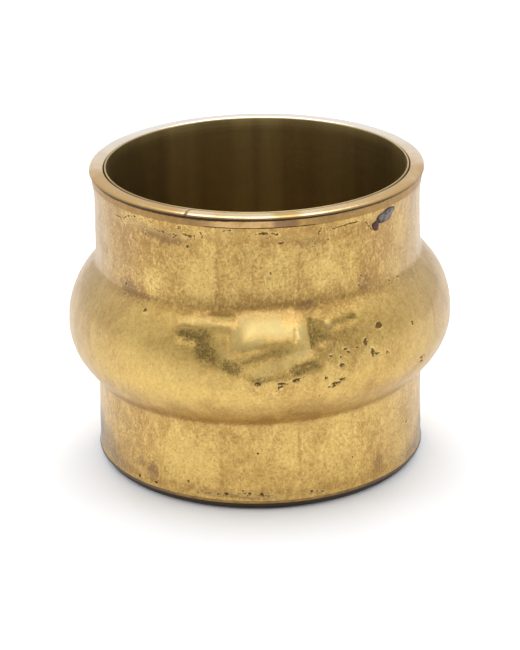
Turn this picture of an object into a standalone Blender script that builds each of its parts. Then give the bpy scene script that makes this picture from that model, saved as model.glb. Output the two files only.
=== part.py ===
"""Round brass planter pot, in metres, +Z up, standing on Z = 0 with its axis on Z and its boss towards -Y.

A hammered sheet jacket, swelling into a full belt with one raised boss, stands on a base plate and a
dark foot ring. A smooth cup lines it. A half-round rim bead and a narrow collar close the gap between
the two at the mouth, and soft solder holds the sheets together.
"""

import math

import bmesh
import bpy
import numpy as np

# Rim and mouth
POT_HEIGHT = 0.1385
MOUTH_RADIUS = 0.0681
BEAD_WIDTH = 0.0066
BEAD_HEIGHT = 0.0016
BEAD_OVERHANG = 0.0011
BEAD_SPLIT_WIDTH = 0.0004
BEAD_SPLIT_ANGLE = math.radians(-24.0)
COLLAR_HEIGHT = 0.0040
COLLAR_SHEET = 0.0014

# Inner cup
CUP_SHEET = 0.0009
CUP_EDGE_DROP = 0.0004
CUP_CORNER_RADIUS = 0.004

# Hammered jacket
WALL_SHEET = 0.0012
WALL_TOP_FLARE = 0.0006
WALL_TOP_FLARE_REACH = 0.0120
WALL_FOOT_FLARE = 0.0013
BELT_PROJECTION = 0.0134
BELT_LEAN = 0.0005
BELT_TILT = 0.0016
BELT_CREST_HEIGHT = 0.0663
BELT_RISE = 0.0300
BELT_DROP = 0.0245
BELT_TOP_FULLNESS = 2.4
BELT_FOOT_FULLNESS = 2.0
BELT_TOP_SOFTNESS = 0.0010
BELT_FOOT_SOFTNESS = 0.0015

# Boss on the belt
BOSS_ANGLE = math.radians(3.6)
BOSS_ABOVE_CREST = 0.0137
BOSS_PROUD = 0.0020
BOSS_HALF_WIDTH = 0.0175
BOSS_RISE = 0.0145
BOSS_DROP = 0.0140
BOSS_EDGE = 0.0080
BOSS_TAPER = 0.42

# Ridge and hollows beside the boss: degrees from the front, height over the crest, half width, half height
# and rise
BOSS_RELIEF = {
    "left hollow": (-19.5, 0.0172, 0.0080, 0.0050, -0.0018),
    "left hollow's foot": (-16.3, 0.0122, 0.0045, 0.0050, -0.0012),
    "left ridge": (-17.5, 0.0229, 0.0115, 0.0024, 0.0009),
    "right hollow": (18.6, 0.0187, 0.0050, 0.0060, -0.0017),
    "lower right hollow": (14.8, 0.0071, 0.0052, 0.0036, -0.0011),
}
RELIEF_EDGE = 1.1

# Base plate and foot ring
BASE_SHEET = 0.0013
BASE_LIP = 0.0002
FOOT_HEIGHT = 0.0029
FOOT_WIDTH = 0.0090
FOOT_INSET = 0.0016
EDGE_CHAMFER = 0.0003

# Soft solder
RIM_SOLDER_HEIGHT = 0.0050
BASE_SOLDER_LEG = 0.0032
PATCH_ANGLE = math.radians(49.0)
PATCH_WIDTH = 0.0125
PATCH_HEIGHT = 0.0056
PATCH_DROP = 0.0036
PATCH_RISE = 0.0009

# Clearance between pieces that touch, and how finely round shapes are divided
FIT_GAP = 0.0003
SEGMENTS = 72
BEAD_POINTS = 9
CORNER_POINTS = 4
BELT_ROWS = 15
PLAIN_ROWS = 4
BOSS_SEGMENTS = 3
BOSS_SIDE = math.radians(33.0)
PATCH_SEGMENTS = 16
PATCH_RINGS = 8
POLE_MERGE = 0.00001
SMOOTH_ANGLE = math.radians(40.0)
CHAMFER_ANGLE = math.radians(60.0)

# Heights, from the floor up
BASE_FOOT_Z = FOOT_HEIGHT + FIT_GAP
BASE_TOP_Z = BASE_FOOT_Z + BASE_SHEET
SEAT_Z = BASE_TOP_Z + FIT_GAP
CUP_FLOOR_Z = SEAT_Z + CUP_SHEET
CUP_TOP_Z = POT_HEIGHT - CUP_EDGE_DROP
BEAD_FOOT_Z = POT_HEIGHT - BEAD_HEIGHT
COLLAR_TOP_Z = BEAD_FOOT_Z - FIT_GAP
COLLAR_FOOT_Z = COLLAR_TOP_Z - COLLAR_HEIGHT
WALL_TOP_Z = COLLAR_FOOT_Z - FIT_GAP

BELT_TOP_Z = BELT_CREST_HEIGHT + BELT_RISE
BELT_FOOT_Z = BELT_CREST_HEIGHT - BELT_DROP

# Radii, from the mouth out
CUP_RADIUS = MOUTH_RADIUS + CUP_SHEET
BEAD_INNER_RADIUS = CUP_RADIUS + FIT_GAP
BEAD_RADIUS = BEAD_INNER_RADIUS + BEAD_WIDTH
COLLAR_RADIUS = BEAD_RADIUS - BEAD_OVERHANG
WALL_NECK_RADIUS = COLLAR_RADIUS - WALL_TOP_FLARE
WALL_FOOT_RADIUS = WALL_NECK_RADIUS + WALL_FOOT_FLARE
BASE_RADIUS = WALL_FOOT_RADIUS + BASE_LIP
FOOT_RADIUS = BASE_RADIUS - FOOT_INSET

# Colours from the photograph, in linear light, with roughness and metallic value
FINISHES = {
    "outer_wall": ((0.60, 0.36, 0.11), 0.38, 1.0),
    "inner_cup": ((0.10, 0.07, 0.02), 0.35, 1.0),
    "rim_bead": ((0.62, 0.38, 0.15), 0.25, 1.0),
    "rim_collar": ((0.55, 0.33, 0.12), 0.32, 1.0),
    "base_plate": ((0.42, 0.29, 0.10), 0.40, 1.0),
    "foot_ring": ((0.035, 0.026, 0.020), 0.60, 0.6),
    "rim_solder": ((0.22, 0.21, 0.20), 0.55, 0.8),
    "base_solder": ((0.22, 0.21, 0.20), 0.55, 0.8),
    "solder_patch": ((0.16, 0.15, 0.15), 0.55, 0.7),
}


def clear_scene():
    for obj in list(bpy.data.objects):
        bpy.data.objects.remove(obj, do_unlink=True)


def new_collection(name):
    collection = bpy.data.collections.new(name)
    bpy.context.scene.collection.children.link(collection)
    return collection


def finish(name):
    """The piece's own Principled material."""
    colour, roughness, metallic = FINISHES[name]
    material = bpy.data.materials.new(name)
    material.use_nodes = True
    shader = material.node_tree.nodes["Principled BSDF"]
    shader.inputs["Base Color"].default_value = (*colour, 1.0)
    shader.inputs["Roughness"].default_value = roughness
    shader.inputs["Metallic"].default_value = metallic
    return material


def place(name, mesh, collection, axis):
    """A named piece with its material, standing on the pot's axis."""
    obj = bpy.data.objects.new(name, mesh)
    collection.objects.link(obj)
    obj.parent = axis
    mesh.materials.append(finish(name))
    return obj


def at_angle(radius, angle, height):
    """A point at an angle counted from the front, -Y, towards +X."""
    return radius * math.sin(angle), -radius * math.cos(angle), height


def screw_mesh(name, profile, closed):
    """The mesh that a profile of radius and height points makes when it is turned round the Z axis."""
    points = [(radius, 0.0, height) for radius, height in profile]
    edges = [(i, i + 1) for i in range(len(points) - 1)]
    if closed:
        edges.append((len(points) - 1, 0))
    outline = bpy.data.meshes.new(name + "_outline")
    outline.from_pydata(points, edges, [])
    turning = bpy.data.objects.new(name + "_turning", outline)
    bpy.context.scene.collection.objects.link(turning)
    screw = turning.modifiers.new("turn", "SCREW")
    screw.axis = "Z"
    screw.steps = SEGMENTS
    screw.render_steps = SEGMENTS
    screw.use_merge_vertices = True
    screw.merge_threshold = POLE_MERGE
    graph = bpy.context.evaluated_depsgraph_get()
    mesh = bpy.data.meshes.new_from_object(turning.evaluated_get(graph))
    mesh.name = name
    bpy.data.objects.remove(turning, do_unlink=True)
    bpy.data.meshes.remove(outline)
    return mesh


def shade(mesh):
    mesh.shade_smooth()
    mesh.set_sharp_from_angle(angle=SMOOTH_ANGLE)


def chamfer(obj):
    bevel = obj.modifiers.new("chamfer", "BEVEL")
    bevel.width = EDGE_CHAMFER
    bevel.segments = 1
    bevel.limit_method = "ANGLE"
    bevel.angle_limit = CHAMFER_ANGLE


def cut(obj, cutter):
    boolean = obj.modifiers.new("cut", "BOOLEAN")
    boolean.operation = "DIFFERENCE"
    boolean.solver = "EXACT"
    boolean.object = cutter


def hide_cutter(obj):
    obj.hide_render = True
    obj.display_type = "WIRE"


def smooth_step(value):
    """0 below 0, 1 above 1 and an easy curve between them."""
    share = np.clip(value, 0.0, 1.0)
    return share * share * (3.0 - 2.0 * share)


def wall_radius(angle, height):
    """Outer radius of the jacket: a straight taper with a slight flare under the collar, and over it a belt
    that falls off as a power on each side of its crest. The crest climbs to the right, and the belt stands
    out a little more there. The larger of taper and belt wins, with a softened corner at either crease."""
    share = (height - SEAT_Z) / (WALL_TOP_Z - SEAT_Z)
    plain = WALL_FOOT_RADIUS + (WALL_NECK_RADIUS - WALL_FOOT_RADIUS) * share
    flare = np.clip(1.0 - (WALL_TOP_Z - height) / WALL_TOP_FLARE_REACH, 0.0, 1.0)
    plain = plain + WALL_TOP_FLARE * flare ** 2
    above = height - BELT_CREST_HEIGHT - BELT_TILT * np.sin(angle)
    reach = np.where(above > 0.0, BELT_RISE, BELT_DROP)
    fullness = np.where(above > 0.0, BELT_TOP_FULLNESS, BELT_FOOT_FULLNESS)
    projection = BELT_PROJECTION + BELT_LEAN * np.sin(angle)
    belt = projection * (1.0 - np.abs(above / reach) ** fullness)
    blend = np.clip((above + BELT_DROP) / (BELT_RISE + BELT_DROP), 0.0, 1.0)
    softness = BELT_FOOT_SOFTNESS + (BELT_TOP_SOFTNESS - BELT_FOOT_SOFTNESS) * blend
    return plain + (belt + np.sqrt(belt ** 2 + softness ** 2)) / 2.0


def wall_heights():
    """Rows of the jacket from its top edge to its foot, closer together across the belt, with one row at
    either crease."""
    upper = np.linspace(WALL_TOP_Z, BELT_TOP_Z, PLAIN_ROWS, endpoint=False)
    belt = np.linspace(BELT_TOP_Z, BELT_FOOT_Z, BELT_ROWS)
    lower = np.linspace(BELT_FOOT_Z, SEAT_Z, PLAIN_ROWS)[1:]
    return np.concatenate([upper, belt, lower])


def leaned_height(angle, height):
    """A row's height once it climbs to the right as the belt does: fully across the belt, and less and less
    towards the jacket's two level edges."""
    from_top = (WALL_TOP_Z - height) / (WALL_TOP_Z - BELT_TOP_Z)
    from_foot = (height - SEAT_Z) / (BELT_FOOT_Z - SEAT_Z)
    share = np.clip(np.minimum(from_top, from_foot), 0.0, 1.0)
    return height + BELT_TILT * share * np.sin(angle)


def boss_lift(angle, height):
    """How far the boss stands out over the belt: a pad with a rounded front, easing into its sides and
    narrower towards its foot."""
    centre = BELT_CREST_HEIGHT + BOSS_ABOVE_CREST
    above = height - centre
    crest_radius = wall_radius(0.0, BELT_CREST_HEIGHT) + BOSS_PROUD
    top_drop = crest_radius - wall_radius(0.0, centre + BOSS_RISE)
    foot_drop = crest_radius - wall_radius(0.0, centre - BOSS_DROP)
    fall = np.where(above > 0.0, top_drop * (above / BOSS_RISE) ** 2, foot_drop * (above / BOSS_DROP) ** 2)
    lift = np.maximum(crest_radius - fall - wall_radius(angle, height), 0.0)
    across = np.abs(angle - BOSS_ANGLE) * crest_radius
    half_width = BOSS_HALF_WIDTH * (1.0 - BOSS_TAPER * smooth_step(-above / BOSS_DROP))
    return lift * smooth_step((half_width + BOSS_EDGE / 2.0 - across) / BOSS_EDGE)


def boss_relief(angle, height):
    """The ridge and the hollows beside the boss: each an oval whose rise eases to nothing at its edge."""
    rise = np.zeros_like(angle)
    for degrees, above_crest, half_width, half_height, amount in BOSS_RELIEF.values():
        across = (angle - math.radians(degrees)) * COLLAR_RADIUS / half_width
        up = (height - BELT_CREST_HEIGHT - above_crest) / half_height
        rise += amount * smooth_step((1.0 + RELIEF_EDGE / 2.0 - np.hypot(across, up)) / RELIEF_EDGE)
    return rise


def divide_round_boss(mesh):
    """Divides the jacket's faces where the boss and its hollows are, up to the row above the belt, and
    nowhere else."""
    lowest = BELT_CREST_HEIGHT + BOSS_ABOVE_CREST - BOSS_DROP - BOSS_EDGE
    row_above = BELT_TOP_Z + (WALL_TOP_Z - BELT_TOP_Z) / PLAIN_ROWS
    shell = bmesh.new()
    shell.from_mesh(mesh)
    near = {
        v
        for v in shell.verts
        if abs(math.atan2(v.co.x, -v.co.y)) < BOSS_SIDE and lowest < v.co.z < row_above + FIT_GAP
    }
    edges = [e for e in shell.edges if near.issuperset(e.verts)]
    bmesh.ops.subdivide_edges(shell, edges=edges, cuts=BOSS_SEGMENTS - 1, use_grid_fill=True)
    shell.to_mesh(mesh)
    shell.free()


def outer_wall(collection, axis):
    """The jacket: its turned outer face, shaped into the belt, the boss and its hollows, then given the
    sheet's thickness inwards."""
    heights = wall_heights()
    mesh = screw_mesh("outer_wall", np.column_stack([wall_radius(0.0, heights), heights]), False)
    divide_round_boss(mesh)
    points = np.empty(len(mesh.vertices) * 3, np.float32)
    mesh.vertices.foreach_get("co", points)
    x, y, z = points.reshape(-1, 3).T.astype(float)
    angle = np.arctan2(x, -y)
    z = leaned_height(angle, z)
    radius = wall_radius(angle, z) + boss_lift(angle, z) + boss_relief(angle, z)
    moved = np.column_stack([radius * np.sin(angle), -radius * np.cos(angle), z])
    mesh.vertices.foreach_set("co", moved.ravel())
    shade(mesh)
    obj = place("outer_wall", mesh, collection, axis)
    sheet = obj.modifiers.new("sheet", "SOLIDIFY")
    sheet.thickness = WALL_SHEET
    sheet.offset = -1.0


def cup_corner(inward, rising):
    """The cup's rounded lower corner, a given depth in from its outer face, run up or down."""
    turn = np.linspace(-math.pi / 2.0, 0.0, CORNER_POINTS)
    if not rising:
        turn = turn[::-1]
    round_radius = CUP_CORNER_RADIUS - inward
    centre = CUP_RADIUS - CUP_CORNER_RADIUS
    return [
        (centre + round_radius * math.cos(t), SEAT_Z + CUP_CORNER_RADIUS + round_radius * math.sin(t))
        for t in turn
    ]


def inner_cup(collection, axis):
    """The smooth liner: up its inside from the middle of the floor, over its edge and down its outside."""
    profile = [(0.0, CUP_FLOOR_Z)]
    profile += cup_corner(CUP_SHEET, True)
    profile += [(MOUTH_RADIUS, CUP_TOP_Z), (CUP_RADIUS, CUP_TOP_Z)]
    profile += cup_corner(0.0, False)
    profile.append((0.0, SEAT_Z))
    mesh = screw_mesh("inner_cup", profile, False)
    shade(mesh)
    place("inner_cup", mesh, collection, axis)


def rim_bead(collection, cutters, axis):
    """The half-round ring on the mouth, bent from one strip, with the open butt of its two ends."""
    half_width = BEAD_WIDTH / 2.0
    middle = BEAD_INNER_RADIUS + half_width
    turn = np.linspace(math.pi, 0.0, BEAD_POINTS)
    profile = np.column_stack([middle + half_width * np.cos(turn), BEAD_FOOT_Z + BEAD_HEIGHT * np.sin(turn)])
    mesh = screw_mesh("rim_bead", profile, True)
    shade(mesh)
    obj = place("rim_bead", mesh, collection, axis)
    bpy.ops.mesh.primitive_cube_add(size=1.0)
    cutter = bpy.context.active_object
    cutter.name = "bead_split"
    cutter.dimensions = (BEAD_SPLIT_WIDTH, 2.0 * BEAD_WIDTH, 4.0 * BEAD_HEIGHT)
    cutter.location = at_angle(middle, BEAD_SPLIT_ANGLE, BEAD_FOOT_Z)
    cutter.rotation_euler = (0.0, 0.0, BEAD_SPLIT_ANGLE)
    hide_cutter(cutter)
    for old in list(cutter.users_collection):
        old.objects.unlink(cutter)
    cutters.objects.link(cutter)
    cut(obj, cutter)


def ring(name, outer, inner, top, foot, collection, axis):
    """A ring of square section."""
    profile = [(outer, top), (outer, foot), (inner, foot), (inner, top)]
    mesh = screw_mesh(name, profile, True)
    shade(mesh)
    return place(name, mesh, collection, axis)


def rim_collar(collection, axis):
    """The plain strip between the bead and the hammered sheet."""
    inner = COLLAR_RADIUS - COLLAR_SHEET
    ring("rim_collar", COLLAR_RADIUS, inner, COLLAR_TOP_Z, COLLAR_FOOT_Z, collection, axis)


def base_plate(collection, axis):
    """The flat disc that closes the jacket, with its edge just showing."""
    profile = [(0.0, BASE_TOP_Z), (BASE_RADIUS, BASE_TOP_Z), (BASE_RADIUS, BASE_FOOT_Z), (0.0, BASE_FOOT_Z)]
    mesh = screw_mesh("base_plate", profile, False)
    shade(mesh)
    chamfer(place("base_plate", mesh, collection, axis))


def foot_ring(collection, axis):
    """The dark ring that the pot stands on."""
    chamfer(ring("foot_ring", FOOT_RADIUS, FOOT_RADIUS - FOOT_WIDTH, FOOT_HEIGHT, 0.0, collection, axis))


def rim_solder(collection, axis):
    """The ring of solder that ties the cup to the collar and the jacket, below the bead."""
    foot = COLLAR_TOP_Z - RIM_SOLDER_HEIGHT
    outer = min(COLLAR_RADIUS - COLLAR_SHEET, wall_radius(0.0, foot) - WALL_SHEET) - FIT_GAP
    ring("rim_solder", outer, CUP_RADIUS + FIT_GAP, COLLAR_TOP_Z, foot, collection, axis)


def base_solder(collection, axis):
    """The fillet of solder in the corner of the jacket and the base plate."""
    top = SEAT_Z + BASE_SOLDER_LEG
    outer_top = wall_radius(0.0, top) - WALL_SHEET - FIT_GAP
    outer_foot = wall_radius(0.0, SEAT_Z) - WALL_SHEET - FIT_GAP
    profile = [(outer_top, top), (outer_foot, SEAT_Z), (outer_foot - BASE_SOLDER_LEG, SEAT_Z)]
    mesh = screw_mesh("base_solder", profile, True)
    shade(mesh)
    place("base_solder", mesh, collection, axis)


def solder_patch(collection, cutters, axis):
    """The blot of solder over the collar's lower seam: a flat drop, cut to the round of the wall."""
    mesh = bpy.data.meshes.new("solder_patch")
    drop = bmesh.new()
    bmesh.ops.create_uvsphere(drop, u_segments=PATCH_SEGMENTS, v_segments=PATCH_RINGS, radius=0.5)
    seat_radius = COLLAR_RADIUS + FIT_GAP
    sag = seat_radius * (1.0 - math.cos(math.asin(PATCH_WIDTH / 2.0 / seat_radius)))
    bmesh.ops.scale(drop, vec=(PATCH_WIDTH, 2.0 * (PATCH_RISE + sag), PATCH_HEIGHT), verts=drop.verts)
    drop.to_mesh(mesh)
    drop.free()
    shade(mesh)
    obj = place("solder_patch", mesh, collection, axis)
    obj.location = at_angle(seat_radius - sag, PATCH_ANGLE, COLLAR_FOOT_Z - PATCH_DROP)
    obj.rotation_euler = (0.0, 0.0, PATCH_ANGLE)
    core = screw_mesh(
        "patch_seat",
        [(0.0, POT_HEIGHT), (seat_radius, POT_HEIGHT), (seat_radius, SEAT_Z), (0.0, SEAT_Z)],
        False,
    )
    cutter = bpy.data.objects.new("patch_seat", core)
    cutters.objects.link(cutter)
    hide_cutter(cutter)
    cut(obj, cutter)


def main():
    clear_scene()
    pot = new_collection("brass_planter_pot")
    cutters = new_collection("cutters")
    cutters.hide_render = True
    axis = bpy.data.objects.new("pot_axis", None)
    pot.objects.link(axis)
    outer_wall(pot, axis)
    inner_cup(pot, axis)
    rim_bead(pot, cutters, axis)
    rim_collar(pot, axis)
    base_plate(pot, axis)
    foot_ring(pot, axis)
    rim_solder(pot, axis)
    base_solder(pot, axis)
    solder_patch(pot, cutters, axis)


main()
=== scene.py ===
import math

import bpy
import numpy as np
from mathutils import Matrix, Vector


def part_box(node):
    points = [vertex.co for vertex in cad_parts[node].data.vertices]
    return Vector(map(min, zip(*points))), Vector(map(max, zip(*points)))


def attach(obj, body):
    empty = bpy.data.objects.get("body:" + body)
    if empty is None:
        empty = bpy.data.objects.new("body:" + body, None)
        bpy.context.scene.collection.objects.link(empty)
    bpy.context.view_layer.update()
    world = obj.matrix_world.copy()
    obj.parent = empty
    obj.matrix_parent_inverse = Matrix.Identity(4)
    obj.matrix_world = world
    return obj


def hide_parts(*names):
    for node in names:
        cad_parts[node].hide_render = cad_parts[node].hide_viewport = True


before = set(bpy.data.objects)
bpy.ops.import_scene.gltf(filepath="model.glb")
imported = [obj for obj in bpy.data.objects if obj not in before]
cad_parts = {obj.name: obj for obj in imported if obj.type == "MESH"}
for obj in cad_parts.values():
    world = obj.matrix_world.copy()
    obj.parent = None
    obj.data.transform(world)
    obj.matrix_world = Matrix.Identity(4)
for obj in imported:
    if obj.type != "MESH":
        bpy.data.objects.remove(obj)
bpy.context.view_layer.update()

# The photograph's frame and viewpoint, and the nearest distance that is drawn
PHOTO_WIDTH = 520
PHOTO_HEIGHT = 650
FOCAL_PIXELS = 2469.2
SENSOR_MM = 36.0
CAMERA_BACK = 1.0642
CAMERA_UP = 0.4859
CAMERA_PITCH = math.radians(21.877)
CAMERA_YAW = math.radians(0.025)
CAMERA_ROLL = math.radians(-0.888)
CAMERA_NEAREST = 0.01

# Sizes that the model's parts give

def reach_of(node):
    """Foot, top and radius of a round node."""
    low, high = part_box(node)[:2]
    return low.z, high.z, high.x


WALL_FOOT_Z, WALL_TOP_Z, _ = reach_of("outer_wall")
COLLAR_FOOT_Z, COLLAR_TOP_Z, COLLAR_RADIUS = reach_of("rim_collar")
BEAD_FOOT_Z, BEAD_TOP_Z, BEAD_RADIUS = reach_of("rim_bead")
CUP_FOOT_Z, CUP_TOP_Z, CUP_RADIUS = reach_of("inner_cup")
PLATE_FOOT_Z, PLATE_TOP_Z, PLATE_RADIUS = reach_of("base_plate")
_, FOOT_TOP_Z, FOOT_RADIUS = reach_of("foot_ring")

# Jacket: its sheet, the flare under the collar and the step in from the plate's rim
WALL_SHEET = 0.0012
WALL_TOP_FLARE = 0.0006
WALL_TOP_FLARE_REACH = 0.0120
WALL_FOOT_STEP = 0.0002
WALL_NECK_RADIUS = COLLAR_RADIUS - WALL_TOP_FLARE
WALL_FOOT_RADIUS = PLATE_RADIUS - WALL_FOOT_STEP

# Belt: how far it stands out, and more so to the right, the climb of its crest to the right, the crest's
# height, its reach up and down, the powers of its fall, and the softness of its creases, where the front's
# fades to the sides
BELT_PROJECTION = 0.0134
BELT_LEAN = 0.0005
BELT_TILT = 0.0016
BELT_CREST_Z = 0.0663
BELT_RISE = 0.0300
BELT_DROP = 0.0245
BELT_TOP_FULLNESS = 2.4
BELT_FOOT_FULLNESS = 2.0
BELT_TOP_SOFTNESS = 0.0010
BELT_FRONT_SOFTNESS = 0.0026
BELT_FOOT_SOFTNESS = 0.0015
BELT_FRONT_HALF = math.radians(65.0)
BELT_FRONT_FADE = math.radians(40.0)

# Boss: its place, how far it stands out, its sizes, the width of its eased sides, its shares of taper to the
# foot and to the crown, where the crown's taper ends as a share of the rise, the softness of its edge, and
# how fast it fades beyond its rise
BOSS_ANGLE = math.radians(3.6)
BOSS_Z = 0.0800
BOSS_PROUD = 0.0020
BOSS_HALF_WIDTH = 0.0175
BOSS_RISE = 0.0145
BOSS_DROP = 0.0140
BOSS_EDGE = 0.0105
BOSS_TAPER = 0.42
BOSS_CROWN_TAPER = 0.30
BOSS_CROWN_END = 1.2
BOSS_SOFTNESS = 0.0012
BOSS_FADE = 1.4

# Flat strips that the jacket was beaten in: their edges in degrees, the share of the round that each
# flattens, how much of that the belt loses with what softness, and how much browner a strip is at its left
# edge
FACET_EDGES = (
    -180.0, -148.0, -121.0, -92.0, -60.0, -37.0, -14.0, 14.5, 36.5, 61.0, 88.0, 119.0, 151.0, 180.0,
)
FACET_SHARE = 0.10
FACET_BELT_LOSS = 0.7
FACET_BELT_EDGE = 0.5
STRIP_LEFT_BROWN = 0.15

# Unevenness left by the hammer, and lumps on the boss: rise in mm, cells round the pot, height of a cell
# and seed, then how far the hammer sinks the sheet in mm, and where that dies out under the collar and
# over the foot
HAMMER_MARKS = (
    (0.16, 34, 0.013, 11),
    (0.07, 84, 0.0055, 12),
    (0.03, 210, 0.0022, 13),
)
BOSS_LUMPS = (
    (0.22, 44, 0.008, 14),
)
HAMMER_SINK = 0.16
HAMMER_TOP_FADE = 0.006
HAMMER_FOOT_FADE = 0.004

# Cup, bead and rings
CUP_SHEET = 0.0009
CUP_CORNER = 0.0040
BEAD_WIDTH = 0.0066
BEAD_SPLIT_ANGLE = math.radians(-24.0)
BEAD_SPLIT_WIDTH = 0.0003
COLLAR_SHEET = 0.0014
FOOT_WIDTH = 0.0090

# A full turn, a millimetre, the way along the wall in mm for each degree, and the height that the lattice
# of a ripple covers
TURN = 2.0 * math.pi
MM = 0.001
MM_PER_DEGREE = COLLAR_RADIUS * TURN / 360.0 / MM
RIPPLE_HEIGHT = 0.2


# Shapes

def ease(value):
    """0 below 0, 1 above 1 and the curve 3t^2 - 2t^3 between them."""
    share = np.clip(value, 0.0, 1.0)
    return share * share * (3.0 - 2.0 * share)


def spot(across, up, half_width, half_height, edge):
    """1 inside an oval with the two half sizes, easing to 0 over `edge`, a share of those sizes."""
    reach = np.hypot(across / half_width, up / half_height)
    return ease((1.0 + edge / 2.0 - reach) / edge)


def near(off, half_width, edge):
    """1 within a half width of a middle, easing to 0 over `edge`, a share of that width."""
    return spot(off, 0.0, half_width, 1.0, edge)


def above_zero(value, softness):
    """The value where it is above 0, and 0 elsewhere, with a softened corner."""
    return (value + np.sqrt(value ** 2 + softness ** 2)) / 2.0


def around(columns):
    """Angles of columns spread evenly round the pot."""
    return np.arange(columns) / columns * TURN


def from_front(angle):
    """Angles within a full turn as angles to either side of the front."""
    return np.where(angle > math.pi, angle - TURN, angle)


def section(radius, height):
    """Points of a section, where a single radius or height counts for all of them."""
    return np.stack(np.broadcast_arrays(radius, height), -1)


def ripple(angle, height, cells, cell_height, seed):
    """Random relief from -1 to 1 on a lattice of `cells` round the pot, each `cell_height` tall, joined by
    eased weights along both ways and closed round the pot."""
    rows = int(RIPPLE_HEIGHT / cell_height) + 3
    lattice = np.random.default_rng(seed).uniform(-1.0, 1.0, (rows, cells))
    along = angle / TURN % 1.0 * cells
    up = height / cell_height + 1.0
    column = np.floor(along).astype(int)
    row = np.floor(up).astype(int)
    right = ease(along - column)
    above = ease(up - row)
    low = lattice[row, column % cells] * (1.0 - right) + lattice[row, (column + 1) % cells] * right
    high = lattice[row + 1, column % cells] * (1.0 - right) + lattice[row + 1, (column + 1) % cells] * right
    return low * (1.0 - above) + high * above


def round_ripple(angle, cells, seed):
    """Random relief from -1 to 1 round the pot, the same at every height."""
    return ripple(angle, 0.0 * angle, cells, 1.0, seed)


def wall_radius(angle, height):
    """Plain jacket: a straight taper with a slight flare under the collar, and over it the belt, which
    falls off as a power on each side of a crest that climbs to the right and stands out a little more
    there. The larger wins, with a softened corner at either crease, softest above the boss."""
    share = (height - WALL_FOOT_Z) / (WALL_TOP_Z - WALL_FOOT_Z)
    plain = WALL_FOOT_RADIUS + (WALL_NECK_RADIUS - WALL_FOOT_RADIUS) * share
    flare = np.clip(1.0 - (WALL_TOP_Z - height) / WALL_TOP_FLARE_REACH, 0.0, 1.0)
    plain = plain + WALL_TOP_FLARE * flare ** 2
    above = height - BELT_CREST_Z - BELT_TILT * np.sin(angle)
    reach = np.where(above > 0.0, BELT_RISE, BELT_DROP)
    fullness = np.where(above > 0.0, BELT_TOP_FULLNESS, BELT_FOOT_FULLNESS)
    projection = BELT_PROJECTION + BELT_LEAN * np.sin(angle)
    belt = projection * (1.0 - np.abs(above / reach) ** fullness)
    blend = np.clip((above + BELT_DROP) / (BELT_RISE + BELT_DROP), 0.0, 1.0)
    front = ease((BELT_FRONT_HALF - np.abs(angle)) / BELT_FRONT_FADE)
    top_softness = BELT_TOP_SOFTNESS + (BELT_FRONT_SOFTNESS - BELT_TOP_SOFTNESS) * front
    softness = BELT_FOOT_SOFTNESS + (top_softness - BELT_FOOT_SOFTNESS) * blend
    return plain + above_zero(belt, softness)


def boss_lift(angle, height):
    """Height of the boss over the belt: a front that falls off as a parabola up and down, kept where it
    stands proud of the belt, with a softened edge, eased away at its two sides, and narrower towards its foot
    and its crown."""
    above = height - BOSS_Z
    crest = wall_radius(0.0, BELT_CREST_Z) + BOSS_PROUD
    top_fall = crest - wall_radius(0.0, BOSS_Z + BOSS_RISE)
    foot_fall = crest - wall_radius(0.0, BOSS_Z - BOSS_DROP)
    fall = np.where(above > 0.0, top_fall * (above / BOSS_RISE) ** 2, foot_fall * (above / BOSS_DROP) ** 2)
    proud = crest - fall - wall_radius(angle, height)
    kept = ease(1.0 + BOSS_FADE * (1.0 - np.abs(above) / BOSS_RISE))
    lift = above_zero(proud, BOSS_SOFTNESS) * kept
    across = np.abs(angle - BOSS_ANGLE) * crest
    crown = np.clip(above / BOSS_RISE, 0.0, BOSS_CROWN_END) ** 2
    taper = BOSS_TAPER * ease(-above / BOSS_DROP) + BOSS_CROWN_TAPER * crown
    half_width = BOSS_HALF_WIDTH * (1.0 - taper)
    return lift * ease((half_width + BOSS_EDGE / 2.0 - across) / BOSS_EDGE)


# Folds round the boss: half width and rise in mm, then the line that each runs along, as points of an angle
# in degrees and a height in mm
FOLDS = (
    (4.8, -1.5, (-23.5, 85.0), (-18.0, 83.8), (-15.5, 78.0)),
    (3.6, 0.6, (-25.5, 88.6), (-21.5, 89.4), (-14.8, 90.4), (-9.0, 90.4)),
    (2.2, -0.6, (-15.0, 92.8), (-9.0, 92.6)),
    (4.0, -1.3, (18.6, 88.0), (18.4, 83.0)),
    (3.6, -1.0, (11.0, 72.6), (16.0, 73.2)),
    (2.0, 0.6, (21.0, 88.8), (21.3, 88.8)),
    (2.8, -0.5, (24.0, 88.4), (29.5, 89.4)),
    (3.4, -0.7, (-6.2, 77.2), (-2.0, 80.2), (3.0, 82.2), (7.5, 83.0)),
    (1.1, -0.35, (-9.2, 87.5), (-8.0, 82.0)),
    (1.1, -0.35, (10.6, 89.3), (10.2, 85.6)),
    (1.3, -0.5, (15.9, 91.0), (15.4, 88.0), (15.2, 82.3)),
)

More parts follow.
